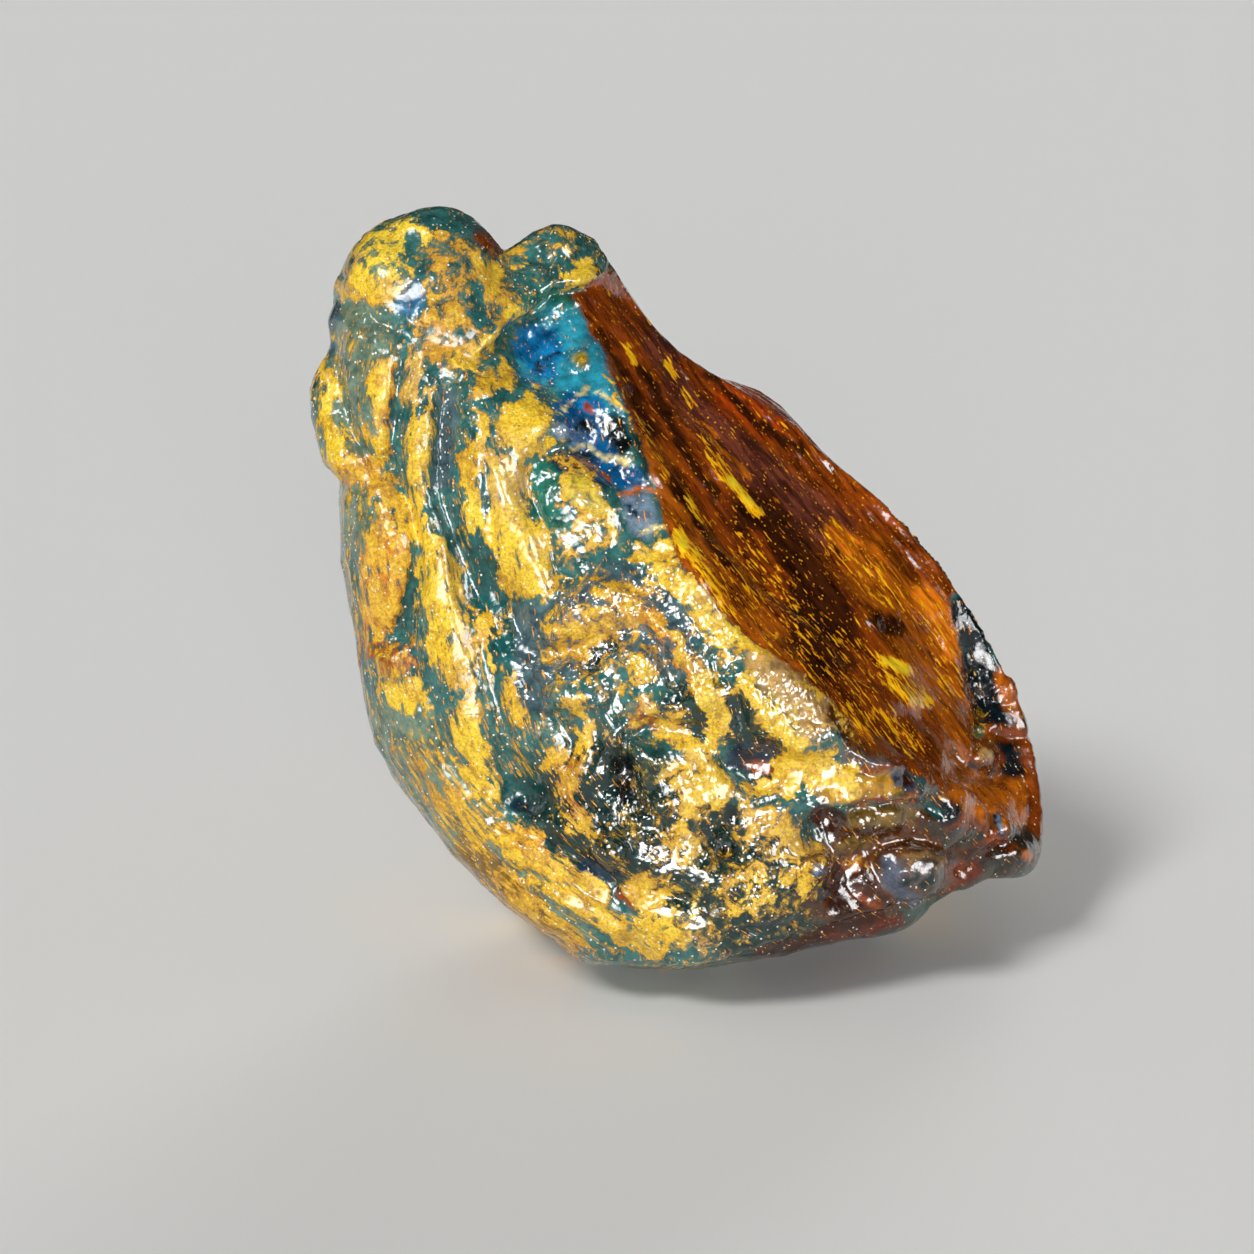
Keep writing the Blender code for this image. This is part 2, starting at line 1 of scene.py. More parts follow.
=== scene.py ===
"""The looks of the raw blue amber: one lump, weathered rind over clear resin, with a fresh break.

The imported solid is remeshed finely, its relief is carved into it, and its colours are laid on as
a painter would, stroke by stroke, as attributes of its points. The material turns these broad
strokes into crisp flakes, streaks and specks with procedural noise.

Strokes are placed by pixels of the 1254 x 1254 picture, with y downwards, so that they can be
checked against it by eye. A path is written "x,y x,y". Strokes hold on the side that the picture
shows, and give way to procedural colour behind.
"""

import math

import bmesh
import bpy
import numpy as np
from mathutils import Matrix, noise


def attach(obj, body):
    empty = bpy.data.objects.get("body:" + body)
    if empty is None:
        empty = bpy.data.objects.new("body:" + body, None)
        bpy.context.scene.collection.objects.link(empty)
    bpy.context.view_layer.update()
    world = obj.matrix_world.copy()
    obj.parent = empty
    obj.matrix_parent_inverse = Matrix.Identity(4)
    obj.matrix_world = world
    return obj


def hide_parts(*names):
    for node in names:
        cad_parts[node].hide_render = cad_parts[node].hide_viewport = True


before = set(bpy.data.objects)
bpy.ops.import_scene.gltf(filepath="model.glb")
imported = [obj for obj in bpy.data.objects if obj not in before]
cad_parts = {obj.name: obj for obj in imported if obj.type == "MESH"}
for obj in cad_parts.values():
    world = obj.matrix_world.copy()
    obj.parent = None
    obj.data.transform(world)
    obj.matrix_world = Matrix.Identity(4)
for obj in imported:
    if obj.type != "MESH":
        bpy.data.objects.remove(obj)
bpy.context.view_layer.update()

NODE = "raw_amber"
MM = 0.001

# ---- Camera ----
PICTURE = 1254
CAMERA_PLACE = (-3.905 * MM, -223.61 * MM, 81.43 * MM)
LOOK_DOWN = math.radians(15.0)
LENS = 100.0
SENSOR = 36.0
PIXELS_PER_MM = 15.1  # on the lump, about its middle

# ---- Stage, in metres. The camera of other views sees no further than 3.8 m. ----
FLOOR_HALF_SIDE = 40.0
BACKDROP_RADIUS = 3.0
BACKDROP_HEIGHT = 3.0

# Name, azimuth, elevation and width in the sky in degrees, strength, whether it lights the lump,
# and whether the gloss mirrors it. Azimuth 0 is the camera's side, 90 is +X.
LAMPS = [
    ("key", -46, 44, 17, 1.7, True, True),
    ("front", 2, 8, 24, 2.2, True, True),
    ("front gloss", -4, 6, 36, 3.0, False, True),
    ("right", 54, 22, 26, 2.8, False, True),
    ("glow", 165, 14, 24, 1.2, True, False),
]

# ---- Mesh ----
VOXEL = 0.19 * MM
FACET_SMOOTHING = 9
MOST_TRIANGLES = 190_000

# ---- Relief, in millimetres ----
GRAIN_RISE = 0.12
WRINKLE_RISE = 0.10
PIMPLE_RISE = 0.11
RIND_THICKNESS = 0.07
FOLD_RISE = 0.22
HACKLE_RISE = 0.09
GRAIN_SIZE = 0.75
GRAIN_STRETCH = (1.0, 0.14, 0.9)
WRINKLE_SIZE = 1.5
FOLD_SIZE = 6.0
HACKLE_SIZE = 0.9
HACKLE_STRETCH = (1.0, 0.16, 0.5)
PIMPLE_SPACING = 0.95
PIMPLE_RADIUS = 0.8  # of the spacing

# ---- What the picture shows ----
FACING = (-0.35, -0.05)  # from hidden to shown, as the cosine with the line to the camera
BEHIND = (7.0 * MM, 13.0 * MM)  # from shown to hidden, by depth behind the nearest in a cell
CELL = 10  # pixels

# ---- Strokes ----
FRAY = 11.0  # pixels that noise moves a stroke's outline by
FRAY_OF_AMBER = 0.5
FRAY_OF_BREAK = 0.35
BREAK_BORDER = 3.5  # pixels
BREAK_GRAIN = math.radians(54.0)  # down the picture from its x axis
THINNEST = -0.15  # cover of rind that a stroke of 0 leaves
THICKEST = 0.84  # and one of 1, so that noise opens holes in it
RIND_GROUND = 0.40  # under the strokes
RIND_BEHIND = 0.46  # cover where the picture doesn't show the lump
PATCHES_BEHIND = 0.85  # how much it varies there
CLEAR_GROUND = 0.04
POLISH_GROUND = 0.7

# ---- Repeats of the procedural markings per mm, or across, along and into the grain ----
LACE = 1.15
FINE_LACE = 4.2
STREAKS = (2.2, 0.46, 1.9)
SPECKS = 1.5
FLECKS = (1.9, 0.9, 1.3)
FINE_GRAIN = 5.0
BROAD = 0.45
STAINS = 0.8
CLOUDS = 1.0
HACKLE = (2.2, 0.24, 0.8)
FIBRES = (6.0, 0.80, 2.0)
# gold sparkles painted on the break as glints
SPARKLE_REPEATS = (2.4, 1.3, 1.8)
# pale dots painted all over as glints
GLINT_DOT_REPEATS = 1.9
GLOSSY_PIMPLES = 2.2

# ---- Amber and its gloss ----
AMBER_IOR = 1.54
ABSORBED_DOWN_TO = (0.88, 0.52, 0.05, 1.0)
ABSORPTION = 520.0  # per metre
COAT_IOR = 1.5
COAT_ROUGHNESS = 0.06
BUMP_HEIGHT = 0.10 * MM


def srgb(red, green, blue):
    """A colour as it shows on screen, 0 to 255, in Blender's linear values."""
    shown = np.array([red, green, blue]) / 255
    return tuple(np.where(shown <= 0.04045, shown / 12.92, ((shown + 0.055) / 1.055) ** 2.4))


# ---- Colours ----
LEMON = srgb(250, 214, 60)
YELLOW = srgb(238, 190, 38)
GOLD = srgb(222, 168, 32)
OCHRE = srgb(205, 148, 38)
ORANGE = srgb(214, 132, 14)
TAN = srgb(200, 158, 92)
OLIVE = srgb(150, 138, 44)
RUST = srgb(160, 82, 22)
TEAL = srgb(46, 100, 96)
DEEP_TEAL = srgb(20, 82, 80)
GREEN_TEAL = srgb(34, 108, 92)
GREY_TEAL = srgb(98, 122, 104)
SLATE = srgb(66, 92, 98)
DARK_GREEN = srgb(22, 50, 46)
BLACK_GREEN = srgb(8, 18, 20)
BLUE = srgb(14, 118, 174)
DEEP_BLUE = srgb(8, 84, 132)
NAVY = srgb(20, 44, 62)
INK = srgb(12, 26, 32)
SEA_BLUE = srgb(48, 104, 138)
CYAN = srgb(44, 150, 172)
HAZE_BLUE = srgb(116, 138, 156)
MAUVE = srgb(94, 82, 78)
LOBE_BLUE = srgb(84, 92, 108)
RED_BROWN = srgb(140, 62, 10)
DEEP_RED = srgb(104, 36, 4)
TAN_BROWN = srgb(156, 120, 72)
CREAM = srgb(232, 214, 140)
BROWN = srgb(126, 58, 10)
DARK_BROWN = srgb(64, 28, 8)
SLATE_BLUE = srgb(66, 72, 92)
AMBER_BROWN = srgb(166, 84, 12)
STONE = srgb(54, 52, 42)
UMBER_BROWN = srgb(92, 50, 16)
UMBER_RED = srgb(140, 62, 14)
UMBER = srgb(122, 94, 36)
PURPLE_BROWN = srgb(112, 56, 38)
RED_ORANGE = srgb(164, 60, 8)
AMBER_ORANGE = srgb(214, 112, 16)
# golds of the painted crack reflections and of the painted glints
GLINT_GOLD = srgb(250, 182, 12)
BRIGHTEST_REFLECTION = srgb(255, 218, 40)
# pale colour of the painted glints
GLINT_WHITE = srgb(236, 232, 214)

# ---- The outline of the break, and the lump's left edge from the top down ----
BREAK = (
    "606,272 573,296 588,325 603,350 626,400 641,440 655,485 663,515 676,556 703,591 724,614 "
    "742,634 766,650 792,666 818,688 844,714 860,736 884,754 912,772 944,790 964,778 973,744 "
    "971,700 961,650 947,600 985,560 960,480 800,360 690,280"
)
LEFT_EDGE = (
    "352,215 326,300 316,400 334,470 350,560 362,640 390,740 430,800 475,850 535,900 610,950"
)

# ---- Strokes: name, value, half width in pixels and path ----
# How much rind there is, 0 to 1.
RIND = [
    ("left side", 0.38, 70, "340,300 330,460 380,640 430,780 520,880"),
    ("belly", 0.50, 70, "560,620 640,700 720,760 700,860"),
    ("lower right", 0.56, 45, "800,700 830,780 780,860"),
    ("knob, top band", 0.86, 11, "376,236 410,232 440,230"),
    ("knob, middle", 0.72, 22, "366,262 392,258 400,280"),
    ("knob, left spot", 0.88, 11, "344,292 358,284"),
    ("knob, low spot", 0.84, 13, "372,296 396,296"),
    ("knob, right", 0.62, 20, "428,258 452,252 462,262"),
    ("knob, face", 0.74, 27, "440,300 448,320 430,338 462,338"),
    ("knob, lower flecks", 0.60, 14, "346,338 372,330"),
    ("neck", 0.66, 18, "476,330 500,306 520,304"),
    ("neck, upper", 0.72, 10, "490,290 505,300"),
    ("under the lip", 0.98, 9, "480,270 496,276"),
    ("lip", 0.10, 9, "480,234 494,248"),
    ("knob, teal top", 0.06, 8, "424,216 446,219 466,227"),
    ("knob, teal gap", 0.18, 7, "412,240 408,262 420,274"),
    ("knob, blue gap", 0.02, 12, "408,306 416,294"),
    ("neck, teal gap", 0.12, 7, "476,292 480,318"),
    ("face, grey gap", 0.30, 18, "340,318 370,318 386,348"),
    ("left, slate streak", 0.10, 6, "334,306 328,352"),
    ("cap", 0.24, 24, "530,262 570,262"),
    ("cap, fleck", 0.80, 8, "556,244 570,248"),
    ("cap, right patch", 0.90, 10, "578,272 588,268"),
    ("cap, left", 0.62, 8, "504,262 530,252"),
    ("cap, edge line", 0.98, 4.0, "596,278 575,284 552,286 530,306 507,320 493,338 477,354 461,363"),
    ("cap, ridge line", 0.72, 2.4, "502,272 530,263 553,256 585,249"),
    ("left strip", 1.00, 13, "328,372 330,410 336,440 342,474"),
    ("left strip, low", 1.00, 14, "342,466 366,478"),
    ("left grey gap", 0.22, 15, "352,376 350,412"),
    ("left gap, flecks", 0.50, 12, "362,430 368,452"),
    ("yellow strip", 1.00, 9, "384,368 382,410 380,456"),
    ("strip to lens", 1.00, 10, "376,462 366,486"),
    ("tan blob", 0.86, 10, "412,366 412,396"),
    ("teal spot", 0.05, 8, "430,374"),
    ("rust spot", 0.98, 6, "440,369"),
    ("teal streak", 0.08, 7, "397,404 396,440 404,480 414,530 418,560"),
    ("flake column one", 0.96, 9, "420,424 416,470 420,520 421,540"),
    ("flecks beside it", 0.66, 6, "432,390 430,440 432,480"),
    ("slate streak", 0.10, 11, "446,396 446,450 440,500 446,540"),
    ("patch by the window", 0.84, 12, "484,384 504,374"),
    ("gap by the window", 0.16, 6, "476,402 500,398 520,392"),
    ("round patch", 1.00, 24, "520,420 532,428"),
    ("round patch, tail", 0.90, 10, "534,448 528,458"),
    ("small column", 0.96, 7, "478,414 482,440 480,452"),
    ("long patch", 0.98, 11, "468,462 470,490 472,522"),
    ("tan patch", 1.00, 17, "500,468 506,490 512,512"),
    ("tan patch, low", 1.00, 19, "504,524 512,552 506,578"),
    ("gap in it", 0.20, 4, "482,470 486,496 490,510"),
    ("big yellow", 1.00, 16, "530,530 538,560 534,590"),
    ("green-teal patch", 0.06, 10, "544,470 538,500 550,516"),
    ("fleck in it", 0.80, 4, "532,474 528,494"),
    ("triangle", 1.00, 19, "572,478 584,492 602,506"),
    ("triangle, tail", 0.86, 9, "580,516 600,520"),
    ("lace under it", 0.64, 16, "570,540 600,540"),
    ("left mixed", 0.46, 14, "352,496 352,540"),
    ("lens, top", 0.84, 17, "386,486 392,520"),
    ("lens", 1.00, 25, "392,548 390,580 382,606"),
    ("lens, right edge", 1.00, 5, "404,500 412,530 414,560 408,590"),
    ("teal beside the lens", 0.10, 6, "420,550 414,590 404,630"),
    ("left edge mix", 0.50, 10, "348,570 352,610 358,650"),
    ("flake column two", 0.97, 12, "432,550 432,590 436,630 436,652"),
    ("column two, right", 0.86, 7, "450,560 456,590 452,630"),
    ("deep teal", 0.02, 14, "476,552 480,580 492,604"),
    ("flecks in it", 0.60, 5, "470,610 474,640"),
    ("leaf one", 0.98, 8, "484,614 490,640 496,664"),
    ("teal under leaf", 0.06, 9, "500,640 508,670"),
    ("leaf two", 0.96, 9, "512,676 514,700 518,716"),
    ("slate middle", 0.10, 13, "528,610 530,650 534,700"),
    ("column three", 0.95, 11, "460,640 462,680 470,730"),
    ("column three, left", 0.80, 8, "444,660 454,670"),
    ("left rust", 0.86, 16, "376,646 396,660"),
    ("left bright", 0.98, 14, "396,694 412,690 418,706"),
    ("left teal", 0.12, 10, "432,680 440,700"),
    ("left dark", 0.16, 11, "398,722 420,724"),
    ("diagonal", 0.97, 12, "464,720 474,760 488,792 494,810"),
    ("lower left flecks", 0.64, 24, "416,760 450,800 480,830"),
    ("deep pool", 0.00, 15, "514,796 540,800"),
    ("dark pool", 0.02, 9, "552,832 562,834"),
    ("yellow by the pool", 0.92, 8, "556,752 552,766"),
    ("rust strip", 0.92, 8, "572,766 568,790 576,812 586,830"),
    ("foot patch", 0.96, 14, "508,836 534,846"),
    ("band one", 0.96, 9, "510,852 544,864 576,878 602,892"),
    ("between the bands", 0.24, 6, "520,874 552,888 590,910 620,926"),
    ("band two", 0.96, 9, "540,884 580,902 622,932 662,948"),
    ("lower edge", 0.80, 12, "500,880 530,912 572,942"),
    ("dark beside the bead", 0.04, 9, "628,850 640,862"),
    ("blue under the bead", 0.02, 8, "588,864 610,872"),
    ("dark eye", 0.06, 9, "622,894 632,900"),
    ("glossy crown", 0.80, 22, "565,640 620,612 660,600"),
    ("crown band", 1.00, 7, "600,590 648,616 672,630 684,666 698,690"),
    ("crown, teal", 0.14, 9, "590,560 620,560"),
    ("crown, teal right", 0.20, 8, "664,606 676,616"),
    ("crown, dark", 0.08, 7, "590,660 604,650"),
    ("shoulder by the edge", 0.90, 11, "640,552 668,574 700,612 730,644"),
    ("edge", 1.00, 6, "664,552 690,586 716,614 744,644 766,660"),
    ("lines by the window", 0.90, 2.5, "648,542 664,532 676,534"),
    ("lines by the window, two", 0.90, 2.5, "652,554 670,546 680,552"),
    ("middle yellow", 0.95, 9, "640,668 656,676"),
    ("middle gap", 0.12, 8, "670,684 664,696"),
    ("folds", 0.45, 16, "600,700 612,740"),
    ("folds, tan line", 0.92, 5, "576,700 590,730 580,752"),
    ("rust curl", 0.92, 10, "636,716 656,718"),
    ("glassy", 0.35, 15, "640,748 660,764"),
    ("big gold", 1.00, 20, "690,770 716,784 700,800"),
    ("gold, upper", 1.00, 12, "664,730 700,744 724,760"),
    ("dark hole", 0.00, 7, "624,764 626,796"),
    ("dark slope", 0.05, 14, "606,774 606,806"),
    ("wedge, left yellow", 1.00, 13, "706,690 716,712 712,736"),
    ("wedge", 0.00, 8, "736,700 740,722"),
    ("wedge, right yellow", 1.00, 14, "752,684 768,706 788,738"),
    ("wedge, left gap", 0.05, 6, "694,706 700,732"),
    ("heart", 0.00, 17, "736,762 768,762"),
    ("heart's tail", 0.05, 5, "744,778 748,792"),
    ("right gold", 1.00, 17, "790,772 826,772 846,780"),
    ("gold under the heart", 0.98, 9, "756,790 790,794"),
    ("glossy shoulder", 0.55, 15, "772,676 796,706 820,732"),
    ("teal line", 0.10, 4, "764,806 790,800 812,806 806,786"),
    ("cliff", 0.85, 16, "760,820 800,824 808,850"),
    ("round spot one", 0.00, 8, "733,815"),
    ("round spot two", 0.02, 8, "710,832 728,848"),
    ("dark lace", 0.46, 28, "690,850 700,880 690,910"),
    ("yellow tongue", 0.92, 10, "678,830 684,850"),
    ("tan island", 0.96, 14, "642,886 650,900"),
    ("lace, left", 0.84, 14, "646,924 676,934"),
    ("lace, right", 0.66, 22, "740,900 780,890 800,880"),
    ("lace, lower dark", 0.30, 9, "740,930 780,928 806,918"),
    ("tip", 0.55, 8, "690,950 722,950"),
    ("window", 0.00, 27, "540,352 580,340 590,400 596,440 630,474"),
    ("window, upper", 0.05, 16, "546,300 576,302"),
    ("window, lower", 0.02, 16, "634,500 640,530 616,470"),
    ("window, left rim", 0.30, 9, "500,344 512,336"),
    ("blister", 0.50, 8, "580,358"),
    ("pale rim", 0.92, 3.5, "608,376 620,396 628,410"),
    ("folds by the break", 0.10, 12, "850,744 884,762 906,780"),
    ("pocket", 0.00, 22, "820,818 870,830 930,826 960,850"),
    ("under the pocket", 0.00, 26, "850,890 880,900 900,880 840,920"),
    ("grey folds", 0.26, 14, "850,752 884,764"),
    ("foot slab", 0.00, 18, "760,962 840,946 910,930"),
    ("toe", 0.00, 40, "990,800 1010,850 960,900"),
    ("rim", 0.00, 26, "968,600 1000,670 1030,750 1034,800"),
]

# Colour of the rind.
RIND_COLOURS = [
    ("left side", GOLD, 90, "340,300 330,460 380,640 430,780 520,880"),
    ("knob, pale", LEMON, 26, "372,262 400,250 396,232"),
    ("knob, face", OCHRE, 26, "440,300 452,330 430,340"),
    ("knob, right", OCHRE, 18, "430,260 458,256"),
    ("knob, left edge", TAN, 9, "352,262 342,282"),
    ("neck", OCHRE, 22, "476,336 510,306"),
    ("under the lip", GOLD, 12, "484,272"),
    ("left strip", YELLOW, 13, "330,380 336,440"),
    ("strip to lens", ORANGE, 14, "350,474 372,480"),
    ("yellow strip", YELLOW, 8, "380,380 378,450"),
    ("its edge", ORANGE, 3, "392,368 390,410 388,450"),
    ("tan blob", TAN, 10, "412,366 412,396"),
    ("rust spot", RUST, 7, "440,369"),
    ("round patch", YELLOW, 26, "520,420 534,430"),
    ("long patch, top", OCHRE, 12, "466,460 470,482"),
    ("long patch, low", LEMON, 12, "470,500 474,524"),
    ("tan patch", TAN, 17, "500,468 508,494 516,512"),
    ("tan patch, low", YELLOW, 16, "500,530 506,560"),
    ("big yellow", YELLOW, 16, "530,530 538,560 534,590"),
    ("triangle", OLIVE, 12, "576,490 596,500"),
    ("lens, top", OCHRE, 16, "388,486 396,520"),
    ("lens", ORANGE, 24, "388,552 390,590 380,610"),
    ("flake columns", YELLOW, 16, "420,430 420,520 434,560 434,640"),
    ("leaf two", GOLD, 9, "512,676 518,716"),
    ("left rust", RUST, 18, "376,650 404,658"),
    ("left bright", YELLOW, 14, "396,694 418,700"),
    ("lower left", OCHRE, 20, "410,760 440,810"),
    ("diagonal", YELLOW, 12, "464,720 488,792"),
    ("rust strip", RUST, 8, "572,766 568,790 576,812"),
    ("foot patch", ORANGE, 12, "516,838 536,848"),
    ("lower edge", OCHRE, 14, "500,882 530,914 572,944"),
    ("crown", OCHRE, 26, "580,640 640,610 690,660"),
    ("crown band", ORANGE, 8, "600,590 648,616 684,666 698,690"),
    ("shoulder by the edge", YELLOW, 10, "640,548 700,606 730,640"),
    ("folds", TAN, 16, "600,700 612,740"),
    ("rust curl", RUST, 12, "636,716 656,722"),
    ("glassy", OLIVE, 17, "640,750 660,768"),
    ("big gold", GOLD, 20, "690,770 716,784"),
    ("wedge yellows", YELLOW, 14, "710,690 714,736 752,684 788,738"),
    ("right gold", GOLD, 17, "790,772 846,780"),
    ("shoulder", TAN, 14, "772,676 796,706 830,736"),
    ("cliff", OCHRE, 17, "756,820 800,826 808,850"),
    ("tan island", OCHRE, 13, "642,884 652,898"),
    ("lace", YELLOW, 20, "646,926 700,900 780,890"),
    ("tip", TAN, 10, "690,950 722,950"),
    ("cap patch", YELLOW, 12, "578,272 590,268"),
    ("cap line", YELLOW, 6, "596,278 552,286 507,320 461,363"),
]

# Colour of the amber where the rind is gone. Some strokes paint light into it: painted shade in
# holes and the pocket, a painted shadow by the toe, painted highlights, and painted glow where light
# shines through thin amber.
AMBER_COLOURS = [
    ("left side", TEAL, 400, "400,300 440,760"),
    ("knob and left edge", GREY_TEAL, 30, "350,300 366,350 350,400 350,520"),
    ("knob top", TEAL, 12, "424,216 446,219 466,227"),
    ("lip", RED_BROWN, 8, "482,236 494,248"),
    ("knob, blue", SEA_BLUE, 11, "408,306 416,294"),
    ("left, slate", SLATE, 6, "334,306 328,352"),
    ("slate streak", SLATE, 10, "448,396 446,440 440,480"),
    ("deep teal", DEEP_TEAL, 17, "470,540 480,580 496,620 504,660"),
    ("green-teal patch", GREEN_TEAL, 13, "544,470 540,500 552,520"),
    ("slate middle", SLATE, 16, "528,620 534,700"),
    ("deep pool", DEEP_TEAL, 16, "514,792 540,796"),
    ("pool, dark", NAVY, 10, "520,804 540,808"),
    ("lower left", GREY_TEAL, 30, "400,720 440,790 500,860 560,910"),
    ("lower edge", UMBER, 16, "470,850 516,902 566,944"),
    ("lower middle", DARK_GREEN, 70, "600,800 700,860 760,900"),
    ("dark pool", DARK_GREEN, 12, "552,832 562,834"),
    ("crown", SLATE, 40, "560,640 620,600 660,640"),
    ("crown gaps", DARK_GREEN, 12, "592,660 606,648"),
    ("beside the wedge", DARK_GREEN, 30, "690,710 740,710 770,760"),
    ("heart", NAVY, 12, "740,758 764,758"),
    ("heart's middle", RED_BROWN, 6, "752,766 768,768"),
    ("blue under the bead", NAVY, 9, "586,866 610,872"),
    ("dark eye", RED_BROWN, 5, "622,896 632,902"),
    # painted shade: the hole is darkened near black
    ("hole", BLACK_GREEN, 8, "624,764 626,796"),
    ("round spot", BLACK_GREEN, 7, "733,815"),
    ("spot two", BLACK_GREEN, 8, "726,850"),
    ("cap", TEAL, 26, "530,262 576,256"),
    ("window, upper", GREEN_TEAL, 16, "540,304 576,300"),
    ("window", CYAN, 32, "560,340 590,380 600,400"),
    ("window, left", TEAL, 12, "506,344 524,320"),
    ("window, blue", BLUE, 18, "530,344 546,350 540,370"),
    ("window, dark lines", NAVY, 2.5, "536,371 548,362 559,352"),
    ("window, dark lines, two", DEEP_BLUE, 3, "526,353 541,343 556,330"),
    # painted highlight along the window's ridge
    ("window, pale edge", CYAN, 2.5, "520,360 530,378 546,384"),
    ("window, blue two", DEEP_BLUE, 20, "574,410 590,440 600,460"),
    ("window, bright", BLUE, 7, "584,400 596,408"),
    ("window, black one", BLACK_GREEN, 6, "582,424 590,430"),
    # painted glints: pale dots where light catches little beads
    ("window, dots", CREAM, 1.8, "559,415 572,399 584,386"),
    ("window, red", RED_ORANGE, 2, "585,402 590,410"),
    ("window, cream line", CREAM, 2, "597,393 612,402 630,408"),
    ("window, cream line two", CREAM, 2, "562,452 584,446 606,457 628,460"),
    ("window, black two", BLACK_GREEN, 12, "612,424 622,444"),
    ("window, slate", NAVY, 10, "562,460 586,464 606,478"),
    ("window, blue three", DEEP_BLUE, 12, "606,470 636,480"),
    ("window, red line", RED_BROWN, 2.5, "575,460 592,468 610,480"),
    ("window, foot", HAZE_BLUE, 15, "636,500 644,524"),
    ("window, foot's dark spots", NAVY, 4, "628,506 636,516"),
    ("window, foot's line", AMBER_ORANGE, 2, "620,494 640,488 656,492"),
    ("window, foot's line two", CREAM, 2, "636,536 650,528 664,530"),
    ("window, right rim", DARK_GREEN, 8, "640,430 650,470"),
    ("blister", OLIVE, 9, "580,360"),
    ("bead in the window", HAZE_BLUE, 7, "562,434"),
    ("shoulder", TAN, 14, "758,658 784,690 812,722"),
    ("shoulder, strip", TAN_BROWN, 14, "784,664 812,690 838,714"),
    ("shoulder, brown", UMBER_BROWN, 13, "838,716 862,740 884,756"),
    ("right end", UMBER_BROWN, 50, "850,880 920,850 1000,830 1000,740"),
    ("rim", INK, 15, "976,664 988,700 996,722"),
    ("rim, dark edge", INK, 12, "960,610 972,636 984,660"),
    # painted glow: orange where light shines through the thin rim
    ("rim, glow", AMBER_BROWN, 9, "1001,676 1010,694 1015,708"),
    ("rim, bright glow", AMBER_ORANGE, 4, "1001,680 1008,696"),
    ("rim, teal bead", GREEN_TEAL, 5, "980,731"),
    ("rim, red band", RED_BROWN, 8, "992,730 1010,734 1026,736"),
    ("right rim", RED_BROWN, 8, "1028,736 1032,760 1030,784"),
    ("rim, dark two", INK, 11, "1006,752 1014,774"),
    ("rim, brown lump", RED_BROWN, 9, "978,750 996,758"),
    ("rim, tan on it", TAN, 4, "984,752 992,758"),
    ("rim, dark lens", INK, 7, "960,754 974,772 994,780"),
    ("toe", AMBER_ORANGE, 22, "968,792 1000,800 1028,806"),
    ("toe, side", RED_BROWN, 8, "1036,790 1036,830"),
    ("toe, lower", RED_BROWN, 11, "960,826 984,838 1008,842"),
    ("toe, ridge", NAVY, 4, "998,818 1003,834"),
    # painted highlight along the toe's ridge
    ("toe, ridge's light", HAZE_BLUE, 2.5, "1000,822 1003,830"),
    ("toe, grey end", STONE, 9, "1018,836 1032,842"),
    # painted shadow beside the toe
    ("toe, dark", DARK_BROWN, 7, "964,860 984,853 1004,846"),
    ("toe, foot", STONE, 10, "986,866 1022,859"),
    # painted glow where light shines through the toe's foot
    ("toe, foot's glow", AMBER_ORANGE, 5, "1026,856"),
    ("toe, red", DEEP_RED, 8, "964,878 976,868"),
    ("folds by the break", MAUVE, 9, "852,756 880,766 900,772"),
    ("folds, rust", RED_BROWN, 4, "866,772 890,768 902,762"),
    ("folds, teal", DEEP_TEAL, 5, "880,744 886,752"),
    ("band by the pocket", OCHRE, 11, "830,792 866,788 892,782"),
    ("blue patch", SLATE_BLUE, 8, "898,774 908,784 914,794"),
    ("blue patch's core", DARK_BROWN, 3.5, "906,778 910,783"),
    # painted shade in the pocket's mouth, over the amber's brown
    ("pocket", DARK_BROWN, 13, "820,816 836,824 846,836"),
    ("pocket, rust lip", BROWN, 3, "852,804 884,800 914,798"),
    ("pocket's lumps", UMBER, 11, "858,820 884,816 906,814"),
    ("pocket, row below", UMBER, 6, "842,846 866,840"),
    # painted shade between the rows of lumps
    ("pocket, dark between", DARK_BROWN, 4, "846,834 872,832 900,832"),
    # painted shade: the deep hole is darkened near black
    ("pocket, deep", INK, 10, "934,806 950,814"),
    ("pocket, teal", DEEP_TEAL, 6, "928,806 936,814"),
    ("pocket, grey", STONE, 9, "930,832 958,838 976,836"),
    ("lobe, brown", UMBER_BROWN, 12, "880,850 900,844 930,846"),
    ("lobe", MAUVE, 19, "896,876 922,872 942,872"),
    ("lobe, blue", LOBE_BLUE, 8, "890,866 894,884 900,894"),
    ("lobe, tan", TAN_BROWN, 4, "912,858 930,854 944,860"),
    ("lobe, low", LOBE_BLUE, 7, "898,896 912,900"),
    ("lobe, mottles", DARK_GREEN, 4, "904,884 916,878"),
    ("lobe, mottles two", DARK_GREEN, 3.5, "924,888 938,878"),
    ("lobe, right", BROWN, 7, "950,884 958,868"),
    ("under the pocket", DARK_BROWN, 22, "848,882 862,900 850,916"),
    ("dark under it", DARK_BROWN, 8, "846,862 850,880 840,900"),
    # painted glow where light shines through under the pocket
    ("glow under it", AMBER_BROWN, 4, "850,866 858,860"),
    ("glow under it, two", RED_BROWN, 5, "858,896 876,908"),
    ("foot slab", DEEP_RED, 9, "812,938 850,932 900,922"),
    ("foot slab, dark", DARK_BROWN, 7, "760,954 800,946 830,930 880,914"),
    ("by the bead", INK, 10, "808,884 820,892"),
    # painted highlight: the blue glint low on the bead
    ("bead", SEA_BLUE, 6, "818,872"),
    ("shelf", DARK_GREEN, 8, "740,934 776,932 806,922"),
]
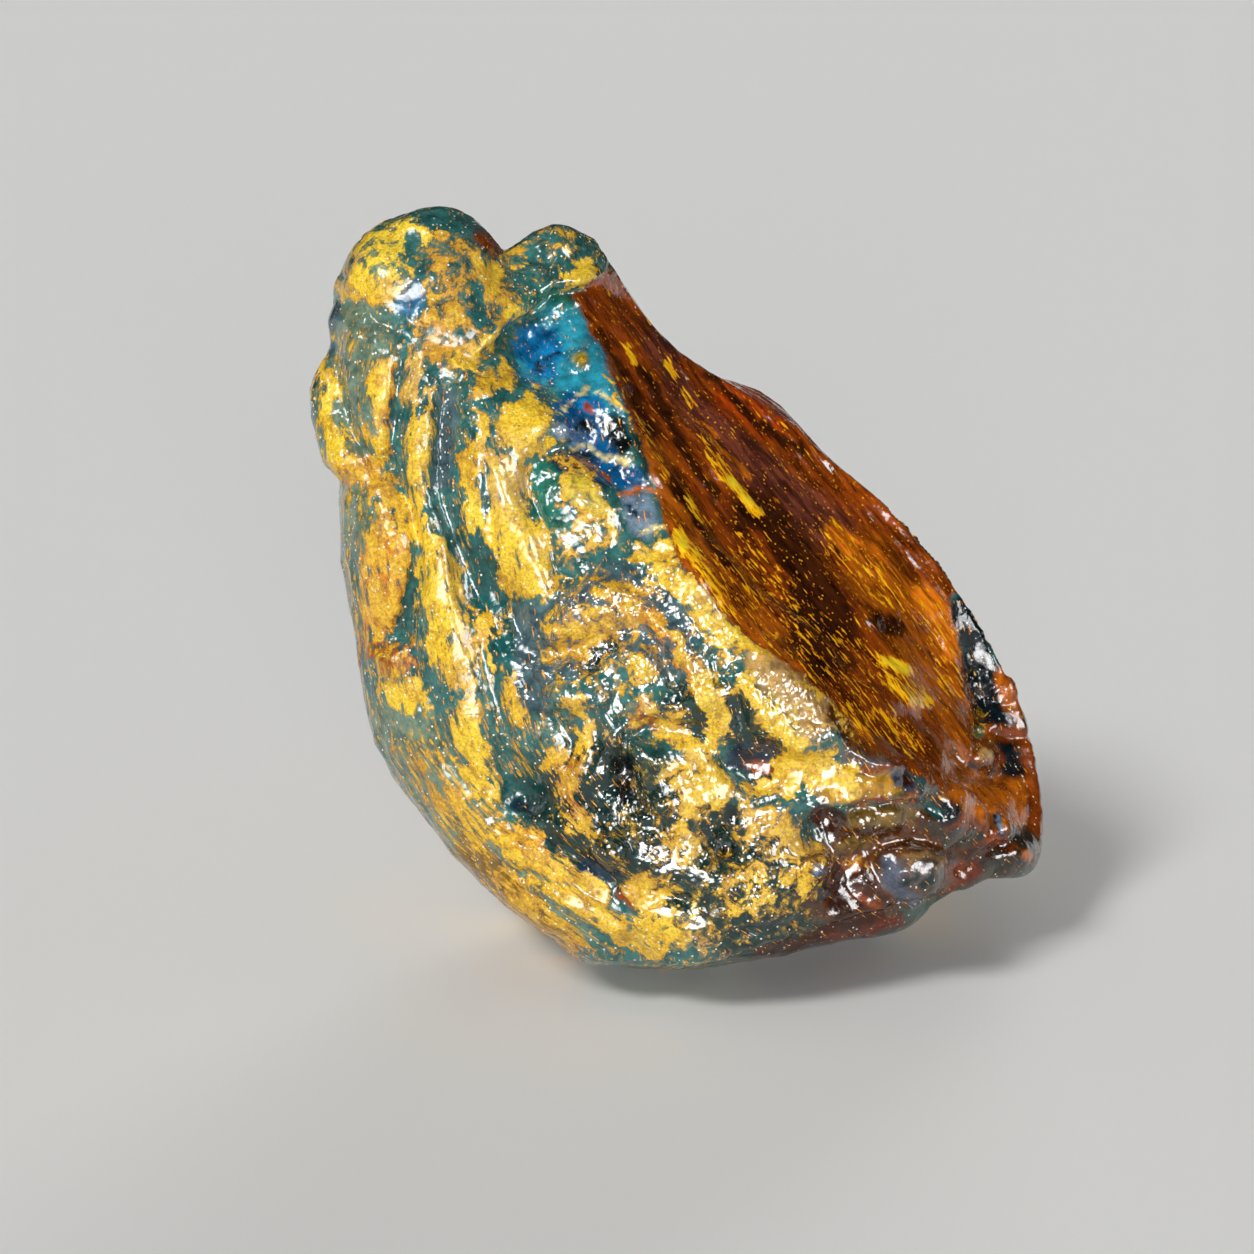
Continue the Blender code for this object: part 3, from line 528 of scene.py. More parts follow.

# Colour of the broken amber, with painted shade where the break lies in shadow and a painted glow on
# its right.
BREAK_COLOURS = [
    ("far side", RED_BROWN, 60, "620,320 700,440 780,560 880,660 930,740"),
    ("haze", PURPLE_BROWN, 24, "660,350 710,410 770,480 830,530"),
    ("upper left", UMBER_RED, 12, "606,302 626,340 650,384"),
    ("edge, orange", AMBER_BROWN, 15, "652,450 676,508 706,566 748,618 790,650"),
    ("edge, dark line", DARK_BROWN, 4, "598,328 618,364 636,398 652,436"),
    ("dark streak", DARK_BROWN, 5, "640,366 664,410 690,460 716,496"),
    ("second dark streak", DARK_BROWN, 5, "672,472 700,524 730,566"),
    ("orange streak", AMBER_ORANGE, 3, "700,420 724,452 748,476"),
    ("far rim", RED_BROWN, 12, "690,366 760,430 860,500 940,590"),
    ("lump behind", RED_ORANGE, 16, "730,396 772,424"),
    ("groove below it", DARK_BROWN, 4, "706,372 740,406 780,440 800,452"),
    # painted shade: darker where the hollow of the break lies in shadow, over the amber's own brown
    ("dark", DARK_BROWN, 30, "756,516 790,560 830,624"),
    ("dark, low", DARK_BROWN, 15, "800,640 842,668 820,668"),
    ("red in the dark", RED_BROWN, 10, "756,540 780,590"),
    ("right", AMBER_BROWN, 28, "870,560 910,630 930,690"),
    ("dark spot", DARK_BROWN, 9, "878,620 898,630"),
    ("orange patch", AMBER_ORANGE, 9, "834,530 850,548"),
    # painted glow where light shines through the break's right side
    ("right glow", AMBER_ORANGE, 10, "924,592 944,622 952,650"),
    ("low", BROWN, 26, "850,700 900,740 930,770"),
    ("low right", AMBER_BROWN, 16, "944,690 960,730 952,770"),
]

# Chips in the break, 0 to 1: light reflected from inner cracks, painted in gold.
CRACK_REFLECTIONS = [
    ("upper chips", 0.90, 3.0, "646,313 651,322"),
    ("second chips", 1.00, 4.5, "627,347 634,361"),
    ("third chips", 1.00, 3.5, "667,363 675,378"),
    ("fourth chips", 1.00, 4.0, "684,390 692,405"),
    ("streak of chips", 0.85, 3.0, "700,434 712,462 722,480"),
    ("long chip", 1.40, 5.0, "726,474 744,496 758,514"),
    ("its upper end", 0.70, 5.0, "712,440 726,474"),
    ("edge chip", 1.50, 7.0, "678,534 686,552"),
    ("edge chip's trail", 0.75, 5.0, "688,498 700,520"),
    ("gold along the edge", 0.95, 8.0, "692,552 712,584 730,610"),
    ("window's edge", 0.55, 5.0, "640,420 654,448 666,478"),
    ("bright bar", 1.50, 6.0, "876,660 892,663 908,670"),
    ("bar's start", 0.75, 5.0, "852,660 876,660"),
    ("hatched gold", 1.00, 7.0, "884,676 912,700 928,702"),
    ("hatched gold, upper", 0.70, 6.0, "896,680 922,690"),
    ("low streaks", 0.66, 12.0, "828,692 850,712 866,734"),
    ("low streaks, right", 0.58, 12.0, "862,700 890,724 914,746"),
    ("orange spots", 0.42, 16.0, "832,530 880,590 930,612"),
    ("right spots", 0.45, 14.0, "920,610 946,640 950,690"),
    ("middle", 0.36, 30.0, "740,560 800,640 850,680"),
]

# How clear the amber is, 0 to 1.
CLEARNESS = [
    ("break", 0.25, 70, "620,320 700,440 780,560 880,660 930,740"),
    ("lip", 0.40, 9, "480,234 494,248"),
    ("lump behind", 0.30, 18, "720,380 780,430"),
    ("far rim", 0.30, 12, "690,366 760,430 860,500 940,590"),
    ("right rim", 0.25, 24, "980,640 1016,730 1020,780"),
    ("toe", 0.22, 26, "970,794 1030,806"),
    ("toe, low", 0.12, 16, "966,850 1020,850"),
    ("pocket", 0.12, 26, "830,820 900,820 950,830"),
    ("lobe", 0.12, 30, "906,872 932,880"),
    ("under the pocket", 0.15, 26, "846,890 860,916"),
    ("foot slab", 0.25, 14, "760,962 840,946 910,930"),
    ("folds", 0.20, 18, "600,700 612,740 650,760"),
]

# How glossy the surface is and how strong its relief, 0 to 1.
POLISH = [
    ("left", 0.45, 100, "360,300 380,440 410,600 450,760 540,860"),
    ("knob", 0.35, 60, "370,270 420,280 460,290"),
    ("crown", 1.00, 60, "570,650 640,610 700,670"),
    ("belly", 0.75, 60, "640,800 720,820 700,900"),
    ("break", 0.40, 90, "700,400 780,520 880,640"),
    ("shoulder", 1.00, 34, "764,670 820,730"),
    ("right end", 0.45, 50, "990,640 1010,740 1020,830 930,880 850,920"),
    ("rim", 0.22, 24, "966,620 986,680 1006,760"),
    ("foot slab", 0.30, 20, "800,946 850,934 910,920 970,890"),
]

# How far the rind is streaked along the grain, 0 to 1.
GRAINED = [
    ("left", 1.0, 110, "360,420 400,560 430,700 520,880"),
    ("middle strips", 1.0, 30, "500,460 510,560"),
    ("knob", 0.4, 60, "400,280 460,280"),
    ("belly", 0.0, 80, "620,640 700,760"),
]

# How thick the pimples stand, 0 to 1.
PIMPLED = [
    ("crown", 1.0, 50, "570,640 640,620 690,660"),
    ("shoulder", 1.0, 26, "770,680 820,730"),
    ("belly", 0.6, 60, "640,800 700,860 780,860"),
    ("window", 0.35, 40, "540,340 600,430"),
    ("right end", 0.2, 60, "860,850 860,910 960,850"),
    ("rim", 0.1, 30, "980,680 1010,760"),
    ("foot edge", 0.7, 20, "520,900 570,940"),
    ("knob", 0.05, 60, "370,270 460,290"),
]

# Creases and, where the rise is above 0, lips: their rise in millimetres.
CREASES = [
    ("under the cap", -0.35, 5, "596,286 575,292 554,294 534,314 510,328 496,346 478,362"),
    ("cap's lip", 0.22, 5, "596,276 575,281 550,284 528,304 506,317 491,335 476,352"),
    ("lens, right", -0.35, 5, "398,372 396,410 390,456 396,480 410,510 418,545 413,585 402,620"),
    ("left strip", -0.25, 5, "334,330 332,356 340,392 350,430 376,470"),
    ("waist", -0.25, 5, "344,476 362,486 376,478 386,468"),
    ("valley", -0.30, 6, "446,400 440,440 442,500 462,560 486,610 510,650"),
    ("tan patch, left", -0.25, 4, "484,462 490,500 492,540"),
    ("tan patch, right", -0.25, 4, "526,462 532,500 550,540 556,570"),
    ("notch", -0.30, 6, "497,268 492,256"),
    ("crown crack", -0.45, 6, "588,668 600,656 614,644"),
    ("crown ridge", 0.24, 7, "604,592 640,600 662,628 680,640 692,670 698,700"),
    ("crown, left channel", -0.28, 5, "640,622 660,650 672,684"),
    ("crown, right channel", -0.25, 5, "690,616 712,650 716,676"),
    ("wedge", -0.25, 6, "736,696 742,726"),
    ("heart", -0.30, 13, "736,760 768,762"),
    ("pool", -0.35, 16, "516,796 544,800"),
    ("fold one", 0.28, 5, "566,700 584,722 590,746 580,770"),
    ("fold's channel", -0.28, 5, "556,716 572,742 566,766"),
    ("fold two", 0.24, 6, "600,704 612,730 622,752"),
    ("curl", 0.26, 5, "620,728 634,712 654,708 672,716"),
    ("curl's channel", -0.28, 5, "626,742 644,728 662,726"),
    ("glassy lump", 0.30, 12, "640,752 658,762"),
    ("hollow by the slit", 0.40, 16, "620,776 622,792"),
    ("slit", -0.30, 4, "622,786 624,822"),
    ("round spot", -0.35, 8, "732,815"),
    ("second round spot", -0.40, 9, "727,849"),
    ("teal line", -0.22, 4, "764,804 786,796 806,790 812,778"),
    ("cliff's edge", 0.24, 6, "812,806 818,834 822,856"),
    ("pocket's mouth", -0.45, 9, "822,816 842,826 850,850"),
    ("pocket's upper lip", 0.28, 5, "816,806 850,800 886,798 918,794"),
    ("under the lip", -0.32, 4, "826,812 870,806 914,802"),
    ("deep hole", -0.45, 9, "930,806 946,816"),
    ("lobe's upper edge", -0.30, 6, "880,846 912,838 946,846 962,858"),
    ("lobe", 0.25, 18, "905,868 932,874"),
    ("under the lobe", -0.30, 5, "892,908 926,902 956,886"),
    ("toe's shadow", -0.45, 7, "962,872 980,860 1002,844"),
    ("toe's ridge one", 0.25, 5, "966,790 980,812 984,826"),
    ("toe's ridge two", 0.22, 5, "996,812 1004,836"),
    ("rim's groove", -0.35, 6, "978,672 984,706 980,730"),
    ("rim's second groove", -0.30, 5, "984,730 1010,738 1026,738"),
    ("rim's lens", -0.35, 6, "958,754 976,774 996,780"),
    ("foot slab's groove", -0.30, 5, "800,934 850,924 900,908"),
    ("grey fold", 0.22, 4, "850,752 872,764 898,768"),
    ("grey fold's channel", -0.22, 4, "846,764 870,776 892,778"),
    ("between the bands", -0.28, 5, "520,872 556,888 596,910 630,930"),
    ("band two", 0.20, 8, "540,888 584,906 626,936"),
    ("eye", -0.25, 9, "620,898"),
    ("shelf", -0.30, 6, "740,932 776,930 808,920"),
]

# Beads: name, rise in millimetres, radius in pixels and centre.
BEADS = [
    ("cream bead", 0.55, 15, "613,848"),
    ("bead by the pocket", 0.50, 12, "818,866"),
    ("beads in a cluster", 0.35, 8, "660,806"),
    ("second of them", 0.30, 7, "646,818"),
    ("third of them", 0.30, 8, "634,834"),
    ("fourth of them", 0.25, 6, "652,838"),
    ("blue bead", 0.35, 9, "572,667"),
    ("bead beside it", 0.35, 9, "543,672"),
    ("third blue bead", 0.25, 8, "592,684"),
    ("mauve bead", 0.25, 11, "558,691"),
    ("blister", 0.22, 12, "580,360"),
    ("bead in the window", 0.25, 8, "562,434"),
    ("island's bead", 0.20, 10, "650,892"),
    ("eye's bead", 0.20, 7, "622,894"),
    ("tip", 0.20, 12, "694,954"),
    ("knob's bead", 0.10, 6, "426,308"),
    ("knob's bead, left", 0.15, 5, "366,318"),
    ("knob's low bead", 0.15, 5, "376,330"),
    ("pocket's lump", 0.40, 13, "862,820"),
    ("pocket's lump, right", 0.35, 13, "894,816"),
    ("pocket's low lump", 0.30, 10, "850,842"),
    ("lobe's bead", 0.15, 8, "934,862"),
    ("lump in the rim", 0.40, 12, "986,758"),
    ("rim's lump", 0.40, 14, "1004,690"),
    ("rim's upper lump", 0.35, 12, "986,684"),
    ("toe's knuckle", 0.30, 10, "1002,830"),
    ("yellow bead in the lace", 0.18, 7, "720,880"),
    ("gold bead", 0.20, 8, "702,778"),
]

def points_in(path):
    """The points of a path that is written "x,y x,y"."""
    return np.array([[float(value) for value in point.split(",")] for point in path.split()])


def seen_at(points):
    """(x, y) in the picture's pixels, and the depth in metres, of points given in metres."""
    from_camera = points - np.array(CAMERA_PLACE)
    ahead = from_camera @ np.array([0.0, math.cos(LOOK_DOWN), -math.sin(LOOK_DOWN)])
    up = from_camera @ np.array([0.0, math.sin(LOOK_DOWN), math.cos(LOOK_DOWN)])
    focal = LENS / SENSOR * PICTURE
    x = PICTURE / 2 + focal * from_camera[:, 0] / ahead
    y = PICTURE / 2 - focal * up / ahead
    return np.column_stack([x, y]), ahead


def smoothstep(low, high, values):
    t = np.clip((values - low) / (high - low), 0.0, 1.0)
    return t * t * (3 - 2 * t)


def distance_to_path(places, path):
    """How far each place is from a path of one or more points."""
    path = points_in(path)
    if len(path) == 1:
        return np.linalg.norm(places - path[0], axis=1)
    nearest = np.full(len(places), np.inf)
    for a, b in zip(path[:-1], path[1:]):
        step = b - a
        share = np.clip((places - a) @ step / (step @ step), 0.0, 1.0)
        away = np.linalg.norm(places - (a + share[:, None] * step), axis=1)
        nearest = np.minimum(nearest, away)
    return nearest


def within(places, outline, softness):
    """1 inside an outline and 0 outside, with a soft border."""
    inside = np.zeros(len(places), bool)
    corners = points_in(outline)
    for (ax, ay), (bx, by) in zip(corners, np.roll(corners, -1, axis=0)):
        crosses = (ay > places[:, 1]) != (by > places[:, 1])
        cut = ax + (places[:, 1] - ay) * (bx - ax) / (by - ay if by != ay else 1.0)
        inside ^= crosses & (places[:, 0] < cut)
    away = distance_to_path(places, outline + " " + outline.split()[0])
    return smoothstep(-softness, softness, np.where(inside, away, -away))


def laid_on(ground, strokes, places, edge=0.5):
    """The ground's number or colour at each place, with soft-edged strokes laid over it."""
    ground = np.array(ground, float)
    result = np.tile(ground, (len(places),) + (1,) * ground.ndim)
    for _, value, half_width, path in strokes:
        away = distance_to_path(places, path) / half_width
        share = 1 - smoothstep(1 - edge, 1 + edge, away)
        result += share.reshape(-1, *[1] * ground.ndim) * (np.array(value) - result)
    return result


def where_shown(shown, seen, hidden):
    """What the picture shows, fading to what is made up for the back."""
    share = shown[:, None] if seen.ndim == 2 else shown
    return hidden + (seen - hidden) * share


def swell(points, size, octaves=3):
    """Fractal noise of the points, about -1 to 1, with swells of the given size."""
    return np.array([noise.fractal(p, 1.0, 2.0, octaves) for p in (points / size).tolist()])


def ridges(points, size, octaves=3):
    """1 on thin ridges of noise, and down to about -1 between them."""
    return 1 - 2 * np.abs(swell(points, size, octaves))


def frayed(places, points):
    """The places moved about by noise, so that a stroke laid on them gets a ragged outline."""
    broad = np.column_stack([swell(points + offset, 1.3 * MM, 4) for offset in (0.0, 0.05)])
    return places + FRAY * broad


def spots(points, size):
    """How far each point is from the nearest of a scatter of spots, in spacings."""
    return np.array([noise.voronoi(p)[0][0] for p in (points / size).tolist()])


# ---- Camera, stage and light ----


def new_object(name, data):
    """An object of a mesh, a lamp's data or a camera's, in the scene."""
    thing = bpy.data.objects.new(name, data)
    bpy.context.scene.collection.objects.link(thing)
    return thing


def make_camera():
    data = bpy.data.cameras.new("camera")
    data.lens = LENS
    data.sensor_width = SENSOR
    data.clip_start = 0.01
    camera = new_object("camera", data)
    camera.location = CAMERA_PLACE
    camera.rotation_euler = (math.pi / 2 - LOOK_DOWN, 0.0, 0.0)
    bpy.context.scene.camera = camera


def dull_object(name, mesh, colour):
    """An object of the mesh with a matt material, and the material's shader."""
    thing = new_object(name, mesh)
    material = bpy.data.materials.new("pale " + name)
    material.use_nodes = True
    mesh.materials.append(material)
    shader = material.node_tree.nodes["Principled BSDF"]
    shader.inputs["Base Color"].default_value = colour
    shader.inputs["Specular IOR Level"].default_value = 0.0
    return thing, shader


def make_floor():
    side = FLOOR_HALF_SIDE
    mesh = bpy.data.meshes.new("floor")
    corners = [(-side, -side, 0), (side, -side, 0), (side, side, 0), (-side, side, 0)]
    mesh.from_pydata(corners, [], [(0, 1, 2, 3)])
    floor, shader = dull_object("floor", mesh, (0.78, 0.77, 0.75, 1.0))
    shader.inputs["Roughness"].default_value = 0.8


def make_backdrop():
    """A pale ring round the lump, above the floor's end, which only the camera sees."""
    form = bmesh.new()
    bmesh.ops.create_cone(form, cap_ends=False, segments=64, radius1=BACKDROP_RADIUS,
                          radius2=BACKDROP_RADIUS, depth=BACKDROP_HEIGHT)
    mesh = bpy.data.meshes.new("backdrop")
    form.to_mesh(mesh)
    form.free()
    backdrop, shader = dull_object("backdrop", mesh, (0.0, 0.0, 0.0, 1.0))
    shader.inputs["Emission Color"].default_value = (0.60, 0.59, 0.57, 1.0)
    shader.inputs["Emission Strength"].default_value = 1.0
    backdrop.visible_diffuse = False
    backdrop.visible_glossy = False
    backdrop.visible_transmission = False
    backdrop.visible_shadow = False


def make_lamp(name, azimuth, elevation, width, strength, lights, mirrored):
    data = bpy.data.lights.new(name, "SUN")
    data.angle = math.radians(width)
    data.energy = strength
    lamp = new_object(name, data)
    lamp.rotation_euler = (math.radians(90.0 - elevation), 0.0, math.radians(azimuth))
    lamp.visible_diffuse = lights
    lamp.visible_glossy = mirrored


def light_scene():
    for lamp in LAMPS:
        make_lamp(*lamp)
    world = bpy.data.worlds.new("studio")
    world.use_nodes = True
    background = world.node_tree.nodes["Background"]
    background.inputs["Color"].default_value = (0.92, 0.96, 1.0, 1.0)
    background.inputs["Strength"].default_value = 0.22
    world.cycles_visibility.glossy = False
    bpy.context.scene.world = world
    bpy.context.scene.view_settings.view_transform = "Standard"


# ---- The lump ----


def evaluated_mesh(piece):
    """The mesh of an object with its modifiers applied."""
    graph = bpy.context.evaluated_depsgraph_get()
    return bpy.data.meshes.new_from_object(piece.evaluated_get(graph))


def even_mesh(node):
    """The CAD solid's surface as an even, fine mesh, with its facets smoothed away."""
    rough = new_object("rough", node.data.copy())
    remesh = rough.modifiers.new("even", "REMESH")
    remesh.mode = "VOXEL"
    remesh.voxel_size = VOXEL
    smooth = rough.modifiers.new("facets", "SMOOTH")
    smooth.factor = 0.5
    smooth.iterations = FACET_SMOOTHING
    mesh = evaluated_mesh(rough)
    bpy.data.objects.remove(rough)
    return mesh


def vectors_of(items, key):
    flat = np.empty(3 * len(items), np.float32)
    items.foreach_get(key, flat)
    return flat.reshape(-1, 3).astype(float)


def points_of(mesh):
    return vectors_of(mesh.vertices, "co")


def normals_of(mesh):
    return vectors_of(mesh.vertex_normals, "vector")


def give_attribute(mesh, name, values):
    """Gives each point a number or a vector. Colours go as vectors, as a colour attribute would
    show black beside the material's volume."""
    kind, key = ("FLOAT", "value") if values.ndim == 1 else ("FLOAT_VECTOR", "vector")
    attribute = mesh.attributes.new(name, kind, "POINT")
    attribute.data.foreach_set(key, np.ascontiguousarray(values, np.float32).ravel())


def move_out(mesh, height):
    """Moves each point out along its normal by a height in millimetres."""
    moved = points_of(mesh) + normals_of(mesh) * height[:, None] * MM
    moved[:, 2] = np.maximum(moved[:, 2], 0.0)
    mesh.vertices.foreach_set("co", moved.astype(np.float32).ravel())
    mesh.update()


def shown_share(mesh):
    """1 where the picture shows the surface, fading to 0 round the back."""
    points = points_of(mesh)
    places, depth = seen_at(points)
    to_camera = np.array(CAMERA_PLACE) - points
    to_camera /= np.linalg.norm(to_camera, axis=1)[:, None]
    facing = np.sum(normals_of(mesh) * to_camera, axis=1)
    cell = np.floor(places / CELL).astype(int)
    key = cell[:, 0] * 1000 + cell[:, 1]  # one number for each cell
    order = np.argsort(key)
    cells, start = np.unique(key[order], return_index=True)
    nearest = np.minimum.reduceat(depth[order], start)
    behind = depth - nearest[np.searchsorted(cells, key)]
    return smoothstep(*FACING, facing) * (1 - smoothstep(*BEHIND, behind))


def broken_share(points, places, shown):
    """1 on the break, 0 on the rind, with a ragged border."""
    ragged = places + FRAY_OF_BREAK * (frayed(places, points) - places)
    return within(ragged, BREAK, BREAK_BORDER) * shown


def flow_of(points, places, broken):
    """Coordinates in millimetres that run across and along the grain, and into the lump."""
    left_edge = points_in(LEFT_EDGE)
    edge_here = np.interp(places[:, 1], left_edge[:, 1], left_edge[:, 0])
    across = (places[:, 0] - edge_here) / PIXELS_PER_MM
    along = places[:, 1] / PIXELS_PER_MM
    x, y = places.T / PIXELS_PER_MM
    across_break = x * math.sin(BREAK_GRAIN) - y * math.cos(BREAK_GRAIN)
    along_break = x * math.cos(BREAK_GRAIN) + y * math.sin(BREAK_GRAIN)
    across = across + (across_break - across) * (broken > 0.5)
    along = along + (along_break - along) * (broken > 0.5)
    return np.column_stack([across, along, points[:, 1] / MM])


def grain_share(places, shown):
    """How far the rind is streaked along the grain, 0 to 1."""
    return where_shown(shown, laid_on(0.1, GRAINED, places), 0.2)


def pimple_share(places, shown):
    """How thick the pimples stand, 0 to 1."""
    return where_shown(shown, laid_on(0.25, PIMPLED, places), 0.35)


def polish_share(places, shown):
    """How glossy the surface is and how strong its relief, 0 to 1."""
    return where_shown(shown, laid_on(POLISH_GROUND, POLISH, places), POLISH_GROUND)


def carve(mesh):
    """Cuts the fine relief: grain, wrinkles and pimples on the rind, hackle on the break."""
    points = points_of(mesh)
    places, _ = seen_at(points)
    shown = shown_share(mesh)
    give_attribute(mesh, "shown", shown)
    broken = broken_share(points, places, shown)
    flow = flow_of(points, places, broken)
    grained = grain_share(places, shown)
    pimpled = pimple_share(places, shown)
    rind = smoothstep(0.35, 0.65, laid_on(RIND_GROUND, RIND, frayed(places, points)))
    in_mm = points / MM
    grain = swell(flow * GRAIN_STRETCH, GRAIN_SIZE)
    wrinkles = ridges(in_mm, WRINKLE_SIZE)
    domes = np.clip(1 - (spots(in_mm, PIMPLE_SPACING) / PIMPLE_RADIUS) ** 2, 0.0, 1.0)
    hackle = ridges(flow * HACKLE_STRETCH, HACKLE_SIZE)
    skin = GRAIN_RISE * grained * grain + WRINKLE_RISE * (1 - grained) * wrinkles
    skin += PIMPLE_RISE * pimpled * domes
    skin = skin * (0.5 + 0.5 * polish_share(places, shown)) + RIND_THICKNESS * rind * shown
    skin += FOLD_RISE * ridges(in_mm + 90.0, FOLD_SIZE, 2) * (1 - shown)
    height = skin * (1 - broken) + HACKLE_RISE * broken * hackle
    for _, rise, half_width, path in CREASES:
        away = distance_to_path(places, path) / half_width
        height = height + rise * np.exp(-(away**2)) * shown
    for _, rise, radius, centre in BEADS:
        away = distance_to_path(places, centre) / radius
        height = height + rise * np.sqrt(np.clip(1 - away**2, 0.0, 1.0)) * shown
    move_out(mesh, height)


def amber_mesh(node):
    mesh = even_mesh(node)
    carve(mesh)
    piece = new_object("amber_piece", mesh)
    triangles = sum(len(face.vertices) - 2 for face in mesh.polygons)
    fewer = piece.modifiers.new("fewer faces", "DECIMATE")
    fewer.ratio = MOST_TRIANGLES / triangles
    piece.data = evaluated_mesh(piece)
    piece.modifiers.remove(fewer)
    piece.data.shade_smooth()
    return piece


def paint(mesh):
    """Lays the strokes on, and procedural colour where the picture doesn't show the surface."""
    points = points_of(mesh)
    places, _ = seen_at(points)
    shown = np.empty(len(points), np.float32)
    mesh.attributes["shown"].data.foreach_get("value", shown)
    broken = broken_share(points, places, shown)
    in_mm = points / MM
    hues = swell(in_mm + 40.0, 5.0)
    hidden_rind = RIND_BEHIND + PATCHES_BEHIND * swell(in_mm, 7.0)
    hidden_rind_colour = GOLD + (np.array(OCHRE) - GOLD) * smoothstep(-0.4, 0.4, hues)[:, None]
    hidden_amber = TEAL + (np.array(DARK_GREEN) - TEAL) * smoothstep(-0.5, 0.5, hues)[:, None]
    ragged = frayed(places, points)
    less_ragged = places + (ragged - places) * FRAY_OF_AMBER
    rind = laid_on(RIND_GROUND, RIND, ragged) * (1 - smoothstep(0.4, 1.0, broken))
    rind = THINNEST + (THICKEST - THINNEST) * rind
    rind_colour = laid_on(GOLD, RIND_COLOURS, ragged)
    amber = laid_on(TEAL, AMBER_COLOURS, less_ragged, 0.3)
    inner = laid_on(RED_BROWN, BREAK_COLOURS, less_ragged, 0.4)
    amber = amber + (inner - amber) * smoothstep(0.0, 0.5, broken)[:, None]
    laid = {
        "rind": where_shown(shown, rind, hidden_rind),
        "rind_colour": where_shown(shown, rind_colour, hidden_rind_colour),
        "amber_colour": where_shown(shown, amber, hidden_amber),
        "clear": where_shown(shown, laid_on(CLEAR_GROUND, CLEARNESS, places), CLEAR_GROUND),
        "broken": broken,
        "chip_glint": laid_on(0.0, CRACK_REFLECTIONS, places) * broken,
        "grained": grain_share(places, shown),
        "pimpled": pimple_share(places, shown),
        "polish": polish_share(places, shown),
        "flow": flow_of(points, places, broken),
    }
    for name, values in laid.items():
        give_attribute(mesh, name, values)


# ---- The material ----


class Nodes:
    """Adds shader nodes with their inputs in one call each."""

    def __init__(self, material):
        self.tree = material.node_tree

    def add(self, kind, inputs=None, **settings):
        node = self.tree.nodes.new(kind)
        for name, value in settings.items():
            setattr(node, name, value)
        for name, value in (inputs or {}).items():
            self.join(value, node.inputs[name])
        return node

    def join(self, value, socket):
        if isinstance(value, bpy.types.NodeSocket):
            self.tree.links.new(value, socket)
        elif socket.type == "RGBA":
            socket.default_value = (*value, 1.0)
        else:
            socket.default_value = value

    def attribute(self, name, output="Fac"):
        return self.add("ShaderNodeAttribute", attribute_name=name).outputs[output]

    def math(self, operation, a, b=0.0, c=0.0):
        return self.add("ShaderNodeMath", {0: a, 1: b, 2: c}, operation=operation).outputs[0]

    def times(self, a, b):
        return self.math("MULTIPLY", a, b)

    def scaled(self, vector, scale):
        """A vector times a number, or times another vector."""
        if isinstance(scale, float):
            scale = (scale, scale, scale)
        inputs = {0: vector, 1: scale}
        return self.add("ShaderNodeVectorMath", inputs, operation="MULTIPLY").outputs[0]

    def noise(self, vector, scale, detail, roughness, distortion=0.0):
        inputs = {
            "Vector": self.scaled(vector, scale), "Scale": 1.0, "Detail": detail,
            "Roughness": roughness, "Distortion": distortion,
        }
        return self.add("ShaderNodeTexNoise", inputs).outputs["Fac"]

    def spots(self, vector, scale):
        """How far a place is from the nearest of a scatter of spots, in spacings."""
        inputs = {"Vector": self.scaled(vector, scale), "Scale": 1.0}
        return self.add("ShaderNodeTexVoronoi", inputs).outputs["Distance"]

    def step(self, value, low, high, to_low=0.0, to_high=1.0):
        inputs = {
            "Value": value, "From Min": low, "From Max": high, "To Min": to_low, "To Max": to_high,
        }
        node = self.add("ShaderNodeMapRange", inputs, interpolation_type="SMOOTHSTEP")
        return node.outputs["Result"]

    def blend(self, share, a, b):
        """A number between a and b."""
        node = self.add("ShaderNodeMix", {0: share, 2: a, 3: b}, data_type="FLOAT")
        return node.outputs[0]

    def mix(self, share, a, b):
        """A colour between a and b."""
        node = self.add("ShaderNodeMix", {0: share, 6: a, 7: b}, data_type="RGBA")
        return node.outputs[2]

    def dim(self, colour, factor):
        """A colour times a number."""
        grey = self.add("ShaderNodeCombineXYZ", {0: factor, 1: factor, 2: factor}).outputs[0]
        return self.scaled(colour, grey)

    def bump(self, height):
        inputs = {"Height": height, "Strength": 1.0, "Distance": BUMP_HEIGHT}
        return self.add("ShaderNodeBump", inputs).outputs["Normal"]


